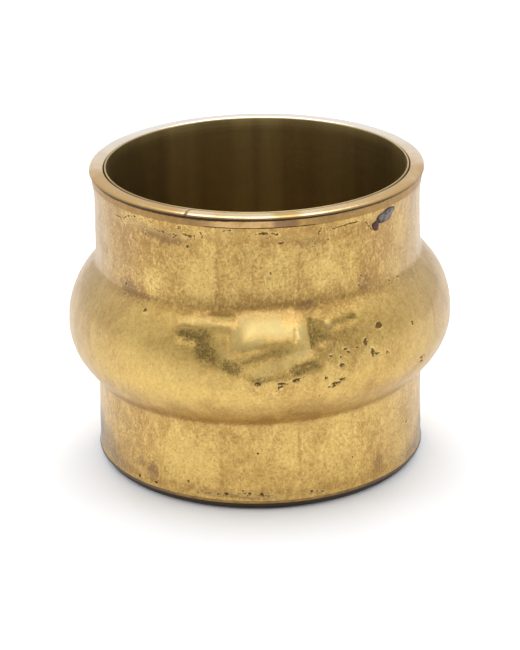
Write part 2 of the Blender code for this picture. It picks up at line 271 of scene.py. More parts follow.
# Pits of age: the softness of their edges, then each one's angle in degrees, and its height, half width, half
# height and depth in mm
PIT_EDGE = 0.9
PITS = (
    (-0.5, 66.8, 1.3, 0.9, 0.7),
    (6.0, 66.5, 1.9, 0.6, 0.5),
    (10.2, 67.8, 1.5, 0.7, 0.6),
    (5.2, 65.0, 0.5, 0.5, 0.3),
    (19.0, 67.0, 0.6, 0.5, 0.4),
    (17.2, 58.2, 0.5, 0.5, 0.4),
    (19.8, 62.2, 0.6, 0.4, 0.3),
    (22.0, 63.5, 1.9, 0.7, 0.6),
    (24.2, 65.0, 1.6, 0.5, 0.5),
    (24.0, 71.5, 1.0, 0.8, 0.5),
    (20.8, 76.5, 0.9, 0.5, 0.4),
    (23.6, 75.2, 0.5, 0.4, 0.3),
    (25.2, 78.2, 0.8, 0.5, 0.4),
    (26.3, 76.8, 0.8, 0.5, 0.5),
    (29.0, 78.0, 0.5, 0.4, 0.3),
    (34.2, 74.2, 0.9, 2.0, 0.5),
    (35.4, 73.2, 1.5, 0.5, 0.4),
    (32.2, 79.3, 0.9, 1.6, 0.4),
    (38.0, 84.3, 1.7, 1.4, 0.6),
    (39.5, 72.5, 0.5, 0.6, 0.3),
    (51.5, 80.2, 0.7, 1.0, 0.4),
    (55.4, 62.2, 1.6, 0.7, 0.4),
    (55.9, 59.6, 1.0, 1.0, 0.4),
    (62.8, 23.8, 1.5, 0.9, 0.6),
    (-39.0, 6.4, 1.0, 0.8, 0.5),
    (-47.0, 6.6, 0.9, 0.9, 0.4),
    (-25.8, 11.0, 0.6, 0.6, 0.4),
    (-12.2, 7.5, 1.1, 0.6, 0.5),
    (-4.0, 8.2, 0.6, 0.7, 0.4),
    (-6.0, 9.4, 0.7, 0.5, 0.3),
    (0.0, 7.8, 0.8, 0.7, 0.4),
    (17.0, 7.5, 0.9, 0.5, 0.4),
    (21.5, 6.4, 0.7, 0.4, 0.4),
    (33.2, 19.5, 0.5, 0.6, 0.3),
    (-51.5, 97.8, 0.9, 0.7, 0.4),
    (-39.2, 91.0, 1.0, 0.7, 0.4),
    (35.8, 101.0, 0.8, 0.6, 0.4),
    (4.2, 111.8, 0.5, 0.6, 0.3),
    (2.2, 130.4, 1.4, 0.5, 0.4),
    (8.2, 125.5, 0.8, 0.5, 0.3),
    (20.8, 128.5, 0.5, 0.6, 0.3),
    (-24.0, 122.0, 0.7, 0.5, 0.3),
    (-1.0, 27.5, 0.6, 0.5, 0.3),
)

# Cracks and flecks: half width in mm, then the points of a line as an angle in degrees and a height in mm
CRACKS = (
    (0.30, (-56.2, 128.3), (-53.2, 128.1), (-51.2, 128.8), (-49.2, 130.3), (-45.0, 131.4), (-44.2, 130.3)),
    (0.28, (-44.2, 130.3), (-42.5, 131.0), (-40.5, 131.8)),
    (0.30, (-38.8, 131.3), (-37.2, 130.1)),
    (0.30, (-41.2, 127.3), (-41.0, 125.8)),
    (0.25, (-40.6, 125.2), (-40.8, 123.8)),
    (0.30, (-36.0, 128.3), (-35.0, 127.5), (-33.0, 127.5)),
    (0.40, (-31.0, 126.8), (-29.0, 127.5), (-28.2, 127.0), (-29.5, 125.5)),
    (0.42, (-25.5, 128.1), (-24.0, 127.8), (-22.2, 127.3)),
    (0.25, (-27.8, 130.8), (-27.0, 131.6), (-26.2, 130.8), (-27.0, 130.0), (-27.8, 130.8)),
    (0.20, (-24.6, 122.5), (-24.0, 123.1), (-23.4, 122.5), (-24.0, 121.9), (-24.6, 122.5)),
    (0.30, (-19.2, 130.1), (-18.5, 127.5)),
    (0.30, (-11.5, 131.4), (-8.8, 131.9)),
    (0.40, (-0.5, 130.1), (2.8, 130.6)),
    (0.35, (4.8, 130.3), (7.0, 129.6)),
    (0.35, (7.0, 125.5), (8.8, 125.8)),
    (0.45, (20.7, 129.1), (21.0, 129.1)),
    (0.35, (21.2, 130.6), (21.5, 130.6)),
    (0.40, (24.1, 125.0), (24.4, 125.0)),
    (0.35, (18.4, 125.0), (18.6, 125.0)),
    (0.30, (18.4, 123.0), (18.6, 123.0)),
    (0.35, (4.1, 116.3), (4.3, 116.3)),
    (0.40, (4.1, 111.5), (4.3, 111.5)),
    (0.35, (25.5, 129.1), (28.2, 129.8), (30.2, 130.1), (33.0, 130.3), (36.0, 130.1)),
    (0.22, (36.5, 105.5), (38.0, 104.0), (37.0, 101.5)),
    (0.25, (39.0, 129.1), (40.6, 126.8), (41.8, 124.8), (42.2, 123.8)),
    (0.18, (48.5, 103.5), (49.4, 101.0), (50.8, 97.0)),
    (0.20, (52.4, 97.0), (54.0, 98.2), (55.5, 97.6)),
    (0.30, (3.8, 62.0), (6.2, 65.5)),
    (0.30, (21.0, 61.6), (24.6, 65.6)),
    (0.30, (9.0, 67.0), (12.6, 68.8)),
)


def ovals(angle, height, marks, edge):
    """Sum of the listed oval marks, each times its last number."""
    total = np.zeros(np.broadcast(angle, height).shape)
    for degrees, middle, half_width, half_height, amount in marks:
        across = (angle - math.radians(degrees)) * COLLAR_RADIUS
        total += amount * spot(across, height - middle * MM, half_width * MM, half_height * MM, edge)
    return total


def line_distance(angle, height, corners):
    """Distance in mm, along the wall, from each point to the line through the corners."""
    across = np.degrees(angle) * MM_PER_DEGREE
    up = height / MM
    nearest = np.inf
    for (from_angle, from_up), (to_angle, to_up) in zip(corners, corners[1:]):
        run = (to_angle - from_angle) * MM_PER_DEGREE
        rise = to_up - from_up
        off = across - from_angle * MM_PER_DEGREE
        over = up - from_up
        share = np.clip((off * run + over * rise) / (run ** 2 + rise ** 2), 0.0, 1.0)
        nearest = np.minimum(nearest, np.hypot(off - share * run, over - share * rise))
    return nearest


def bands(angle, height, marks):
    """Sum of the listed bands: each has its second number along its line and eases to 0 at its half width."""
    total = np.zeros(np.broadcast(angle, height).shape)
    for half_width, amount, *corners in marks:
        total += amount * ease(1.0 - line_distance(angle, height, corners) / half_width)
    return total


def pit_depth(angle, height):
    """How far each point lies within the nearest pit or crack, in mm, and less than 0 outside them."""
    deepest = np.full(np.broadcast(angle, height).shape, -np.inf)
    for degrees, middle, half_width, half_height, _ in PITS:
        across = (np.degrees(angle) - degrees) * MM_PER_DEGREE / half_width
        reach = np.hypot(across, (height / MM - middle) / half_height)
        deepest = np.maximum(deepest, (1.0 - reach) * min(half_width, half_height))
    for half_width, *corners in CRACKS:
        deepest = np.maximum(deepest, half_width - line_distance(angle, height, corners))
    return deepest


def strip_place(angle):
    """Half width of the beaten strip that each angle lies in, and the angle's place off its middle."""
    edges = np.radians(FACET_EDGES)
    strip = np.clip(np.searchsorted(edges, angle, "right") - 1, 0, len(edges) - 2)
    half = (edges[strip + 1] - edges[strip]) / 2.0
    return half, angle - edges[strip] - half


def flats(angle):
    """Depth of the flat strips that the jacket was beaten in: between two neighbouring edges the round is
    flattened by a fixed share, which leaves a faint upright ridge at each edge."""
    half, off = strip_place(angle)
    return FACET_SHARE * COLLAR_RADIUS * (half ** 2 - off ** 2) / 2.0


def strip_share(angle):
    """1 at a strip's left edge falling evenly to -1 at its right edge."""
    half, off = strip_place(angle)
    return -off / half


def off_belt(height):
    """1 on the straight walls, and less on the belt, where the strips are beaten out."""
    return 1.0 - FACET_BELT_LOSS * near(height - BELT_CREST_Z, BELT_RISE, FACET_BELT_EDGE)


def uneven(angle, height, marks):
    """Sum of the listed ripples, in mm."""
    return sum(rise * ripple(angle, height, *lattice) for rise, *lattice in marks)


def jacket_radius(angle, height):
    """The jacket's outer face: belt, boss, folds and pits, the flat strips, and the hammer's shallow
    unevenness, which goes inwards. Strips and unevenness die out at both edges, so that the sheet meets
    the collar and the base plate."""
    lift = boss_lift(angle, height)
    radius = wall_radius(angle, height) + lift + MM * bands(angle, height, FOLDS)
    edge = ease((WALL_TOP_Z - height) / HAMMER_TOP_FADE) * ease((height - WALL_FOOT_Z) / HAMMER_FOOT_FADE)
    radius -= edge * flats(angle) * off_belt(height)
    lumps = uneven(angle, height, BOSS_LUMPS) * np.clip(lift / BOSS_PROUD, 0.0, 1.0)
    radius += MM * (edge * (uneven(angle, height, HAMMER_MARKS) - HAMMER_SINK) + lumps)
    return radius - MM * ovals(angle, height, PITS, PIT_EDGE)


def round_point(radius, angle, height):
    """Points at an angle counted from the front, -Y, towards +X."""
    radius, angle, height = np.broadcast_arrays(radius, angle, height)
    return np.stack([radius * np.sin(angle), -radius * np.cos(angle), height], -1)


def grid_faces(rows, columns, rows_close):
    """Quads of a grid whose columns run round the pot and join up, as its rows do where the section is a
    closed one."""
    row = np.arange(rows if rows_close else rows - 1)[:, None]
    column = np.arange(columns)[None, :]
    next_row = (row + 1) % rows
    next_column = (column + 1) % columns
    corners = (
        row * columns + column,
        next_row * columns + column,
        next_row * columns + next_column,
        row * columns + next_column,
    )
    return np.stack(np.broadcast_arrays(*corners), -1).reshape(-1, 4)


def pole_fans(rows, columns):
    """Triangles that close a grid: from its first row to the point after its last one, and from its last
    row to the point after that."""
    column = np.arange(columns)
    after = (column + 1) % columns
    last = (rows - 1) * columns
    pole = np.full(columns, rows * columns)
    first_fan = np.stack([pole, column, after], -1)
    last_fan = np.stack([pole + 1, last + after, last + column], -1)
    return np.concatenate([first_fan, last_fan])


def new_piece(name, points, quads, fans=(), masks=None):
    """A smooth mesh object at the origin from arrays of points, of quads and of the triangles that close
    it, with one float attribute for each mask."""
    mesh = bpy.data.meshes.new(name)
    mesh.from_pydata(points.reshape(-1, 3).tolist(), [], quads.tolist() + np.asarray(fans).tolist())
    mesh.polygons.foreach_set("use_smooth", np.ones(len(mesh.polygons), bool))
    mesh.update()
    for mask, values in (masks or {}).items():
        attribute = mesh.attributes.new(mask, "FLOAT", "POINT")
        attribute.data.foreach_set("value", np.asarray(values, np.float32).ravel())
    piece = bpy.data.objects.new(name, mesh)
    bpy.context.scene.collection.objects.link(piece)
    return piece


def turned_piece(name, profile, columns, poles=False, masks=None):
    """A piece of revolution: a closed section of radius and height, run down its outer side, carried round
    the axis. With poles, the section is open and its two ends lie on the axis, where each is one point."""
    profile = np.asarray(profile, float)
    angle = around(columns)[None, :]
    if not poles:
        points = round_point(profile[:, :1], angle, profile[:, 1:])
        return new_piece(name, points, grid_faces(len(profile), columns, True), masks=masks)
    rows = len(profile) - 2
    body = round_point(profile[1:-1, :1], angle, profile[1:-1, 1:]).reshape(-1, 3)
    ends = np.array([(0.0, 0.0, profile[0, 1]), (0.0, 0.0, profile[-1, 1])])
    quads = grid_faces(rows, columns, False)
    return new_piece(name, np.concatenate([body, ends]), quads, pole_fans(rows, columns), masks)


def with_ends(values):
    """A grid's mask followed by 0 for the two points that close its ends."""
    return np.append(np.ravel(values), (0.0, 0.0))


# Shader maths

class Value:
    """A socket of a node tree that takes part in Python sums: each operator adds one Math node."""

    def __init__(self, nodes, socket):
        self.nodes = nodes
        self.socket = socket

    def math(self, operation, first, second=None):
        """A Math node on one or two values."""
        sockets = {0: first} if second is None else {0: first, 1: second}
        return self.nodes.node("ShaderNodeMath", {"operation": operation}, sockets)

    def __add__(self, other):
        return self.math("ADD", self, other)

    def __radd__(self, other):
        return self.math("ADD", other, self)

    def __sub__(self, other):
        return self.math("SUBTRACT", self, other)

    def __rsub__(self, other):
        return self.math("SUBTRACT", other, self)

    def __mul__(self, other):
        return self.math("MULTIPLY", self, other)

    def __rmul__(self, other):
        return self.math("MULTIPLY", other, self)

    def size(self):
        """The value without its sign."""
        return self.math("ABSOLUTE", self)

    def between(self, low, high):
        """0 at `low`, 1 at `high`, eased between them."""
        sockets = {"Value": self, "From Min": low, "From Max": high}
        return self.nodes.node("ShaderNodeMapRange", {"interpolation_type": "SMOOTHSTEP"}, sockets)


class Nodes:
    """A node tree, and the one method that adds its nodes."""

    def __init__(self, tree):
        self.tree = tree

    def node(self, kind, settings=None, sockets=None, output=0):
        """Adds a node of a kind, sets it up, feeds its sockets and gives its output."""
        made = self.tree.nodes.new(kind)
        for name, value in (settings or {}).items():
            setattr(made, name, value)
        for name, value in (sockets or {}).items():
            self.feed(made.inputs[name], value)
        return Value(self, made.outputs[output])

    def feed(self, socket, value):
        """Links a value to a socket, or sets the socket to a number, a vector or a colour."""
        if isinstance(value, Value):
            self.tree.links.new(value.socket, socket)
        elif socket.type == "RGBA":
            socket.default_value = (*value, 1.0)
        else:
            socket.default_value = value

    def mix(self, first, second, share):
        """Colour `first` where share is 0, `second` where it is 1."""
        return self.node("ShaderNodeMix", {"data_type": "RGBA"}, {"Factor": share, 6: first, 7: second}, 2)

    def layers(self, colour, *coats):
        """A colour under coats, each a colour and the share that it covers."""
        for coat, share in coats:
            colour = self.mix(colour, coat, share)
        return colour

    def ray(self, kind):
        """1 for rays of the named kind and 0 for others."""
        return self.node("ShaderNodeLightPath", output=kind)


class Finish(Nodes):
    """A material with a Principled shader."""

    def __init__(self, name):
        self.material = bpy.data.materials.new(name)
        self.material.use_nodes = True
        super().__init__(self.material.node_tree)
        self.shader = self.tree.nodes["Principled BSDF"]
        self.place = self.node("ShaderNodeTexCoord", output="Object")

    def set(self, **sockets):
        """Feeds the Principled shader's sockets; an underscore in a name stands for a space."""
        for name, value in sockets.items():
            self.feed(self.shader.inputs[name.replace("_", " ")], value)

    def mask(self, name):
        """The piece's own attribute of that name."""
        return self.node("ShaderNodeAttribute", {"attribute_name": name}, output="Fac")

    def stretched(self, x, y, z):
        """Object coordinates times a scale along each axis, for noise with cells of that many to the
        metre."""
        return self.node("ShaderNodeMapping", {}, {"Vector": self.place, "Scale": (x, y, z)})

    def noise(self, scale, detail=2.0, roughness=0.5, place=None, distortion=0.0):
        """Noise from 0 to 1 with cells of `scale` to the metre, or to one unit of `place`."""
        sockets = {
            "Vector": place or self.place,
            "Scale": scale,
            "Detail": detail,
            "Roughness": roughness,
            "Distortion": distortion,
        }
        return self.node("ShaderNodeTexNoise", {}, sockets, "Fac")

    def bump(self, height, depth):
        """A normal from a height from 0 to 1 that stands for `depth` metres."""
        sockets = {"Height": height, "Distance": depth, "Strength": 1.0}
        return self.node("ShaderNodeBump", {}, sockets, "Normal")


# Colours, in linear light
GOLD = (0.81, 0.565, 0.172)
PALE_GOLD = (0.98, 0.72, 0.270)
TAN = (0.59, 0.364, 0.102)
BROWN = (0.36, 0.18, 0.040)
DARK_BROWN = (0.110, 0.050, 0.012)
SHADE_AND_JOINT_DARK = (0.085, 0.048, 0.021)
STAIN = (0.30, 0.165, 0.062)
OLIVE = (0.34, 0.228, 0.066)
DARK_OLIVE = (0.130, 0.076, 0.018)
SIDE_SHADE = (0.44, 0.322, 0.180)
SHADOW_GREY = (0.16, 0.132, 0.122)
LEMON = (0.57, 0.45, 0.180)
BEAD_GOLD = (0.80, 0.60, 0.36)
BEAD_REFLECTION_WHITE = (0.82, 0.77, 0.68)
BEAD_TAN = (0.58, 0.375, 0.145)
COLLAR_GOLD = (0.84, 0.540, 0.240)
COLLAR_TAN = (0.38, 0.225, 0.080)
COLLAR_STAIN = (0.30, 0.165, 0.085)
CUP_REFLECTION = (0.60, 0.470, 0.210)
CUP_OLIVE = (0.50, 0.385, 0.165)
CUP_DARK = (0.36, 0.265, 0.120)
FOOT_BLACK = (0.085, 0.065, 0.052)
SOLDER_GREY = (0.25, 0.212, 0.195)
SOLDER_DARK = (0.050, 0.038, 0.034)
DROP_BROWN = (0.12, 0.055, 0.045)
EDGE_TINT = (0.86, 0.86, 0.90)

# Shine of the sheet's tarnish, and the depth of its crinkles
SHEET_GLOSS = 0.2
SHEET_RELIEF = 0.0006


def aged_sheet(finish):
    """Colour, roughness, relief and raggedness of aged sheet: polished gold in upright patches, and tan
    patina between them, combed into fine strokes and meandering lines where the sheet is crinkled, with
    painted shade in the furrows of the crinkles and a painted highlight on their ridges."""
    crinkled = finish.mask("crinkled")
    broad = finish.noise(1.0, 2.0, 0.5, finish.stretched(62.0, 62.0, 40.0))
    middle = finish.noise(1.0, 5.0, 0.60, finish.stretched(150.0, 150.0, 105.0), 0.8)
    strokes = finish.noise(1.0, 3.0, 0.60, finish.stretched(450.0, 450.0, 210.0), 1.2)
    small = finish.noise(800.0, 3.0, 0.65)
    fine = finish.noise(1900.0, 2.0, 0.6)
    worn = broad * 0.30 + middle * 0.44 + strokes * 0.16 + small * 0.10 + finish.mask("brown") * 0.13
    patina = worn.between(0.40, 0.57) * (0.64 + crinkled * 0.36)
    deep = worn.between(0.54, 0.68)
    texture = 0.42 + crinkled * 0.78
    shaded_furrows = (0.5 - strokes).between(0.02, 0.15)
    lines = (0.025 - (strokes - 0.5).size()).between(0.0, 0.025)
    lit_ridges = (strokes - 0.5).between(0.03, 0.15)
    colour = finish.layers(
        GOLD,
        (TAN, patina),
        (BROWN, deep * 0.5),
        # painted shade in the furrows of the crinkles
        (BROWN, shaded_furrows * texture * 0.35),
        (BROWN, lines * texture * 0.55),
        # painted highlight on the ridges of the crinkles
        (PALE_GOLD, lit_ridges * texture * 0.40),
        (BROWN, (small - 0.5).between(0.03, 0.16) * texture * 0.50),
        (PALE_GOLD, (0.5 - small).between(0.04, 0.16) * texture * 0.34),
    )
    relief = (strokes * 0.55 + small * 0.25) * texture + fine * 0.06
    ragged = (small - 0.5) * 1.2 + (fine - 0.5) * 0.8
    roughness = 0.46 - texture * 0.06 + patina * 0.06
    return colour, roughness, relief, ragged


def hammered_brass():
    """The jacket's aged sheet with purple-brown stains, painted shade in soft olive hollows whose patina is
    speckled darker, the boss's pale metal with painted highlights, painted shade on the sides, a grey painted
    reflection of the floor's shadow low on the sides, and ragged dark pits and cracks with pale rims."""
    finish = Finish("hammered_brass")
    colour, roughness, relief, ragged = aged_sheet(finish)
    pale = finish.mask("pale")
    hollow_patina_and_shade = finish.mask("hollow_patina_and_shade")
    specks = (hollow_patina_and_shade * 0.40 + ragged).between(0.36, 0.48)
    grime = finish.mask("grime")
    dark = (grime + ragged).between(0.45, 0.60)
    colour = finish.layers(
        colour,
        (STAIN, (finish.mask("stain") * (1.0 + ragged * 2.0)).between(0.15, 0.9) * 0.7),
        # the boss's pale metal with painted highlights on its top, its left ridge and its lower diagonal
        (LEMON, pale),
        # painted shade in the hollows round the boss, over their olive patina
        (OLIVE, (hollow_patina_and_shade * (1.0 + ragged * 1.2)).between(0.05, 1.15)),
        (DARK_OLIVE, specks * hollow_patina_and_shade.between(0.2, 0.6) * 0.8),
        # painted shade on the sides
        (SIDE_SHADE, finish.mask("side_shade") * (0.85 + ragged * 0.4)),
        # grey painted reflection of the floor's shadow low on the sides
        (SHADOW_GREY, (finish.mask("shadow_grey") * (1.0 + ragged)).between(0.1, 1.1) * 0.85),
        (PALE_GOLD, (grime + ragged * 0.5).between(0.20, 0.36) * 0.35),
        (DARK_BROWN, dark * 0.88),
    )
    bare = 1.0 - dark - hollow_patina_and_shade * 0.8 * (1.0 - dark)
    finish.set(Base_Color=colour, Metallic=1.0 - dark * 0.5, Coat_Weight=bare * 0.4, Coat_Roughness=0.2)
    finish.set(Roughness=roughness + dark * 0.2 + pale * 0.04)
    finish.set(Specular_IOR_Level=SHEET_GLOSS, Specular_Tint=EDGE_TINT)
    finish.set(Normal=finish.bump(relief * (1.0 - pale * 0.6) - dark * 0.2, SHEET_RELIEF))
    return finish.material


def cup_brass():
    """Smooth darkened brass with faint upright streaks and fine lines left by spinning, and pale streaks of
    painted reflection down its back.
    """
    finish = Finish("cup_brass")
    streaks = finish.noise(1.0, 3.0, 0.6, finish.stretched(130.0, 130.0, 4.0))
    lines = finish.noise(1.0, 2.0, 0.5, finish.stretched(12.0, 12.0, 1600.0))
    cloud = finish.noise(40.0, 4.0, 0.6)
    worn = (streaks * 0.28 + cloud * 0.72).between(0.32, 0.68)
    # painted reflection in pale streaks down the back
    reflected = finish.mask("streak") * (1.2 - streaks)
    colour = finish.layers(CUP_OLIVE, (CUP_DARK, worn), (CUP_REFLECTION, reflected))
    finish.set(Base_Color=colour, Metallic=1.0, Roughness=0.34 + cloud * 0.12)
    finish.set(Normal=finish.bump(lines, 0.00004))
    return finish.material


def bead_brass():
    """Smooth bead, worn bright on its crown and tan in places and to both sides, with a painted white
    reflection round its back, painted shade at its foot and grime at its joint.
    """
    finish = Finish("bead_brass")
    cloud = finish.noise(75.0, 3.0, 0.55)
    fine = finish.noise(800.0, 3.0, 0.6)
    worn = (cloud * 0.75 + fine * 0.25 + finish.mask("stain") * 0.4).between(0.42, 0.80)
    back_reflection = finish.mask("back_reflection")
    grime = finish.mask("grime")
    # painted white reflection round the back; the grime mask holds painted shade at the foot and grime at the
    # joint
    colour = finish.layers(BEAD_GOLD, (BEAD_TAN, worn), (BEAD_REFLECTION_WHITE, back_reflection * 0.85), (SHADE_AND_JOINT_DARK, grime))
    finish.set(Base_Color=colour, Metallic=1.0 - grime * 0.8, Roughness=0.20 + worn * 0.14)
    finish.set(Coat_Weight=back_reflection, Coat_Roughness=0.2, Coat_IOR=2.0)
    finish.set(Specular_IOR_Level=SHEET_GLOSS, Specular_Tint=EDGE_TINT)
    finish.set(Normal=finish.bump(fine * 0.4 + cloud * 0.6, 0.00010))
    return finish.material


def collar_brass():
    """The strip under the bead: plain and painted lighter in front, aged and darker to both sides with
    painted shade, with a reddish stain, painted shade in the groove over it, and grime along its lower edge."""
    finish = Finish("collar_brass")
    aged, roughness, relief, ragged = aged_sheet(finish)
    cloud = finish.noise(95.0, 3.0, 0.6)
    worn = (cloud + ragged * 0.3).between(0.40, 0.66)
    plain = finish.mask("plain")
    # painted shade over the aged sides, and the plain front below painted lighter
    sides = finish.mix(aged, COLLAR_TAN, 0.74)
    front = finish.mix(COLLAR_GOLD, TAN, worn)
    stain = (finish.mask("stain") * (0.6 + cloud * 0.8)).between(0.15, 0.85)
    # painted shade in the groove under the bead, and grime along the seam
    dark = (finish.mask("grime") + ragged * 0.3).between(0.42, 0.60)
    colour = finish.layers(sides, (front, plain), (COLLAR_STAIN, stain * 0.85), (SHADE_AND_JOINT_DARK, dark))
    finish.set(Base_Color=colour, Metallic=1.0 - dark * 0.5, Coat_Weight=0.2 - dark * 0.2)
    finish.set(Roughness=roughness, Specular_IOR_Level=SHEET_GLOSS, Specular_Tint=EDGE_TINT)
    finish.set(Normal=finish.bump(relief * (1.0 - plain * 0.8) - dark * 0.1, SHEET_RELIEF))
    return finish.material


def plate_brass():
    """Plain sheet edge, matt olive with brighter rubs, and painted shade in grey towards both sides."""
    finish = Finish("plate_brass")
    cloud = finish.noise(160.0, 4.0, 0.6)
    fine = finish.noise(1100.0, 2.0)
    colour = finish.layers(TAN, (OLIVE, cloud.between(0.35, 0.62)), (SHADOW_GREY, finish.mask("shadow_grey")))
    finish.set(Base_Color=colour, Metallic=1.0, Roughness=0.34 + fine * 0.15, Specular_Tint=EDGE_TINT)
    finish.set(Normal=finish.bump(fine, 0.00008))
    return finish.material


def dark_foot():
    """Foot ring, near black, with patches of dark brown."""
    finish = Finish("dark_foot")
    cloud = finish.noise(140.0, 4.0, 0.6)
    fine = finish.noise(1200.0, 2.0)
    colour = finish.mix(FOOT_BLACK, DARK_BROWN, cloud.between(0.5, 0.75))
    finish.set(Base_Color=colour, Metallic=0.6, Roughness=0.5 + fine * 0.2)
    finish.set(Normal=finish.bump(fine, 0.0001))
    return finish.material


def solder(name):
    """Soft solder: dull grey, mottled with darker oxide, darkest at a drop's rim, and brown where a drop
    is."""
    finish = Finish(name)
    cloud = finish.noise(420.0, 4.0, 0.65)
    fine = finish.noise(1800.0, 2.0)
    colour = finish.layers(
        SOLDER_GREY,
        (SOLDER_DARK, cloud.between(0.40, 0.66)),
        (DROP_BROWN, finish.mask("brown")),
        (SOLDER_DARK, finish.mask("rim") * 0.8),
    )
    finish.set(Base_Color=colour, Metallic=0.7, Roughness=0.42 + fine * 0.25)
    finish.set(Normal=finish.bump(cloud * 0.6 + fine * 0.4, 0.0003))
    return finish.material


def settle(piece, material, slot, *nodes):
    """Gives a piece its material, rides it on the pot and stands it for its CAD nodes. The slot is not used.
    """
    piece.data.materials.append(material)
    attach(piece, "root")
    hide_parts(*nodes)


# Pieces

# Columns of the jacket within the front's half angle and behind it, rows of its two faces, samples for
# spacing the rows, how far its edges reach past the solid's to meet their neighbours, and the height of a
# crisp edge's row
FRONT_HALF = math.radians(60.0)
FRONT_COLUMNS = 370
BACK_COLUMNS = 130
OUTER_ROWS = 180
INNER_ROWS = 15
ROW_SAMPLES = 2000
EDGE_REACH = 0.00026
CRISP = 0.00004

# Where the jacket's rows lie closer, at the boss, the lower crease, the seam under the collar and the
# foot: height, reach, share more, and softness of the ends
CLOSER_ROWS = (
    (0.078, 0.020, 1.2, 0.6),
    (BELT_CREST_Z - BELT_DROP, 0.005, 1.3, 1.0),
    (WALL_TOP_Z - 0.004, 0.006, 1.3, 1.0),
    (WALL_FOOT_Z + 0.003, 0.005, 1.3, 1.0),
)


def jacket_rows():
    """Row heights from the top edge down, spaced so that each row takes an equal part of the sum of the
    weights."""
    fine = np.linspace(WALL_TOP_Z, WALL_FOOT_Z, ROW_SAMPLES)
    weight = np.ones_like(fine)
    for middle, reach, more, edge in CLOSER_ROWS:
        weight += more * near(fine - middle, reach, edge)
    share = np.cumsum(weight)
    share = (share - share[0]) / (share[-1] - share[0])
    return np.interp(np.linspace(0.0, 1.0, OUTER_ROWS), share, fine)


def make_jacket():
    """The hammered jacket as a closed sheet: its outer face down, its inner face up, both from the
    formula of jacket_radius, with columns closer together on the boss's side. Its edges reach the collar
    and the plate."""
    front = np.linspace(-FRONT_HALF, FRONT_HALF, FRONT_COLUMNS, endpoint=False)
    back = np.linspace(FRONT_HALF, TURN - FRONT_HALF, BACK_COLUMNS, endpoint=False)
    angle = np.concatenate([front, back])
    angle = from_front(angle)[None, :]
    top = WALL_TOP_Z + EDGE_REACH
    foot = WALL_FOOT_Z - EDGE_REACH
    outer_z = np.concatenate([[top, top - CRISP], jacket_rows()[1:-1], [foot + CRISP, foot]])[:, None]
    inner_z = np.linspace(foot, top, INNER_ROWS)[:, None]
    outer = round_point(jacket_radius(angle, outer_z), angle, outer_z)
    inner = round_point(jacket_radius(angle, inner_z) - WALL_SHEET, angle, inner_z)
    points = np.concatenate([outer, inner])
    masks = jacket_masks(angle, np.concatenate([outer_z, inner_z]))
    return new_piece("jacket", points, grid_faces(len(points), angle.size, True), masks=masks)


# Brown patina, which along the upper crease also stands for the crease's painted shade: angle in degrees,
# height, half width, half height in mm and strength, less than 0 for gold
BROWN_MARKS = (
    (4.0, 99.5, 20.0, 3.5, 0.6),
    (-48.0, 97.5, 16.0, 2.4, 0.8),
    (39.0, 99.5, 9.0, 4.5, 0.8),
    (57.0, 97.0, 12.0, 3.0, 0.6),
    (-32.0, 125.5, 14.0, 3.5, 1.0),
    (-46.0, 116.0, 14.0, 10.0, 0.9),
    (14.0, 128.0, 12.0, 3.5, 0.8),
    (28.0, 127.5, 12.0, 3.0, 0.7),
    (46.0, 112.0, 12.0, 12.0, 0.5),
    (-66.0, 115.0, 9.0, 14.0, 0.5),
    (-41.0, 11.0, 4.0, 3.0, 1.0),
    (-52.0, 15.0, 9.0, 7.0, 0.7),
    (44.5, 11.5, 3.0, 5.0, 0.8),
    (11.0, 51.0, 6.0, 3.0, 0.7),
    (-38.5, 102.5, 5.0, 8.0, -0.9),
    (-20.8, 107.5, 5.5, 8.0, -0.9),
    (21.0, 111.0, 7.5, 9.0, -0.8),
    (8.0, 112.0, 6.0, 11.0, -0.6),
    (-27.0, 21.0, 13.0, 9.0, -0.9),
    (27.0, 30.0, 6.0, 8.0, -0.8),
    (6.0, 26.0, 9.0, 9.0, -0.5),
    (-38.0, 66.0, 22.0, 12.0, -0.5),
    (-26.0, 60.0, 16.0, 6.0, -0.6),
    (-5.0, 58.0, 12.0, 4.0, -0.3),
)

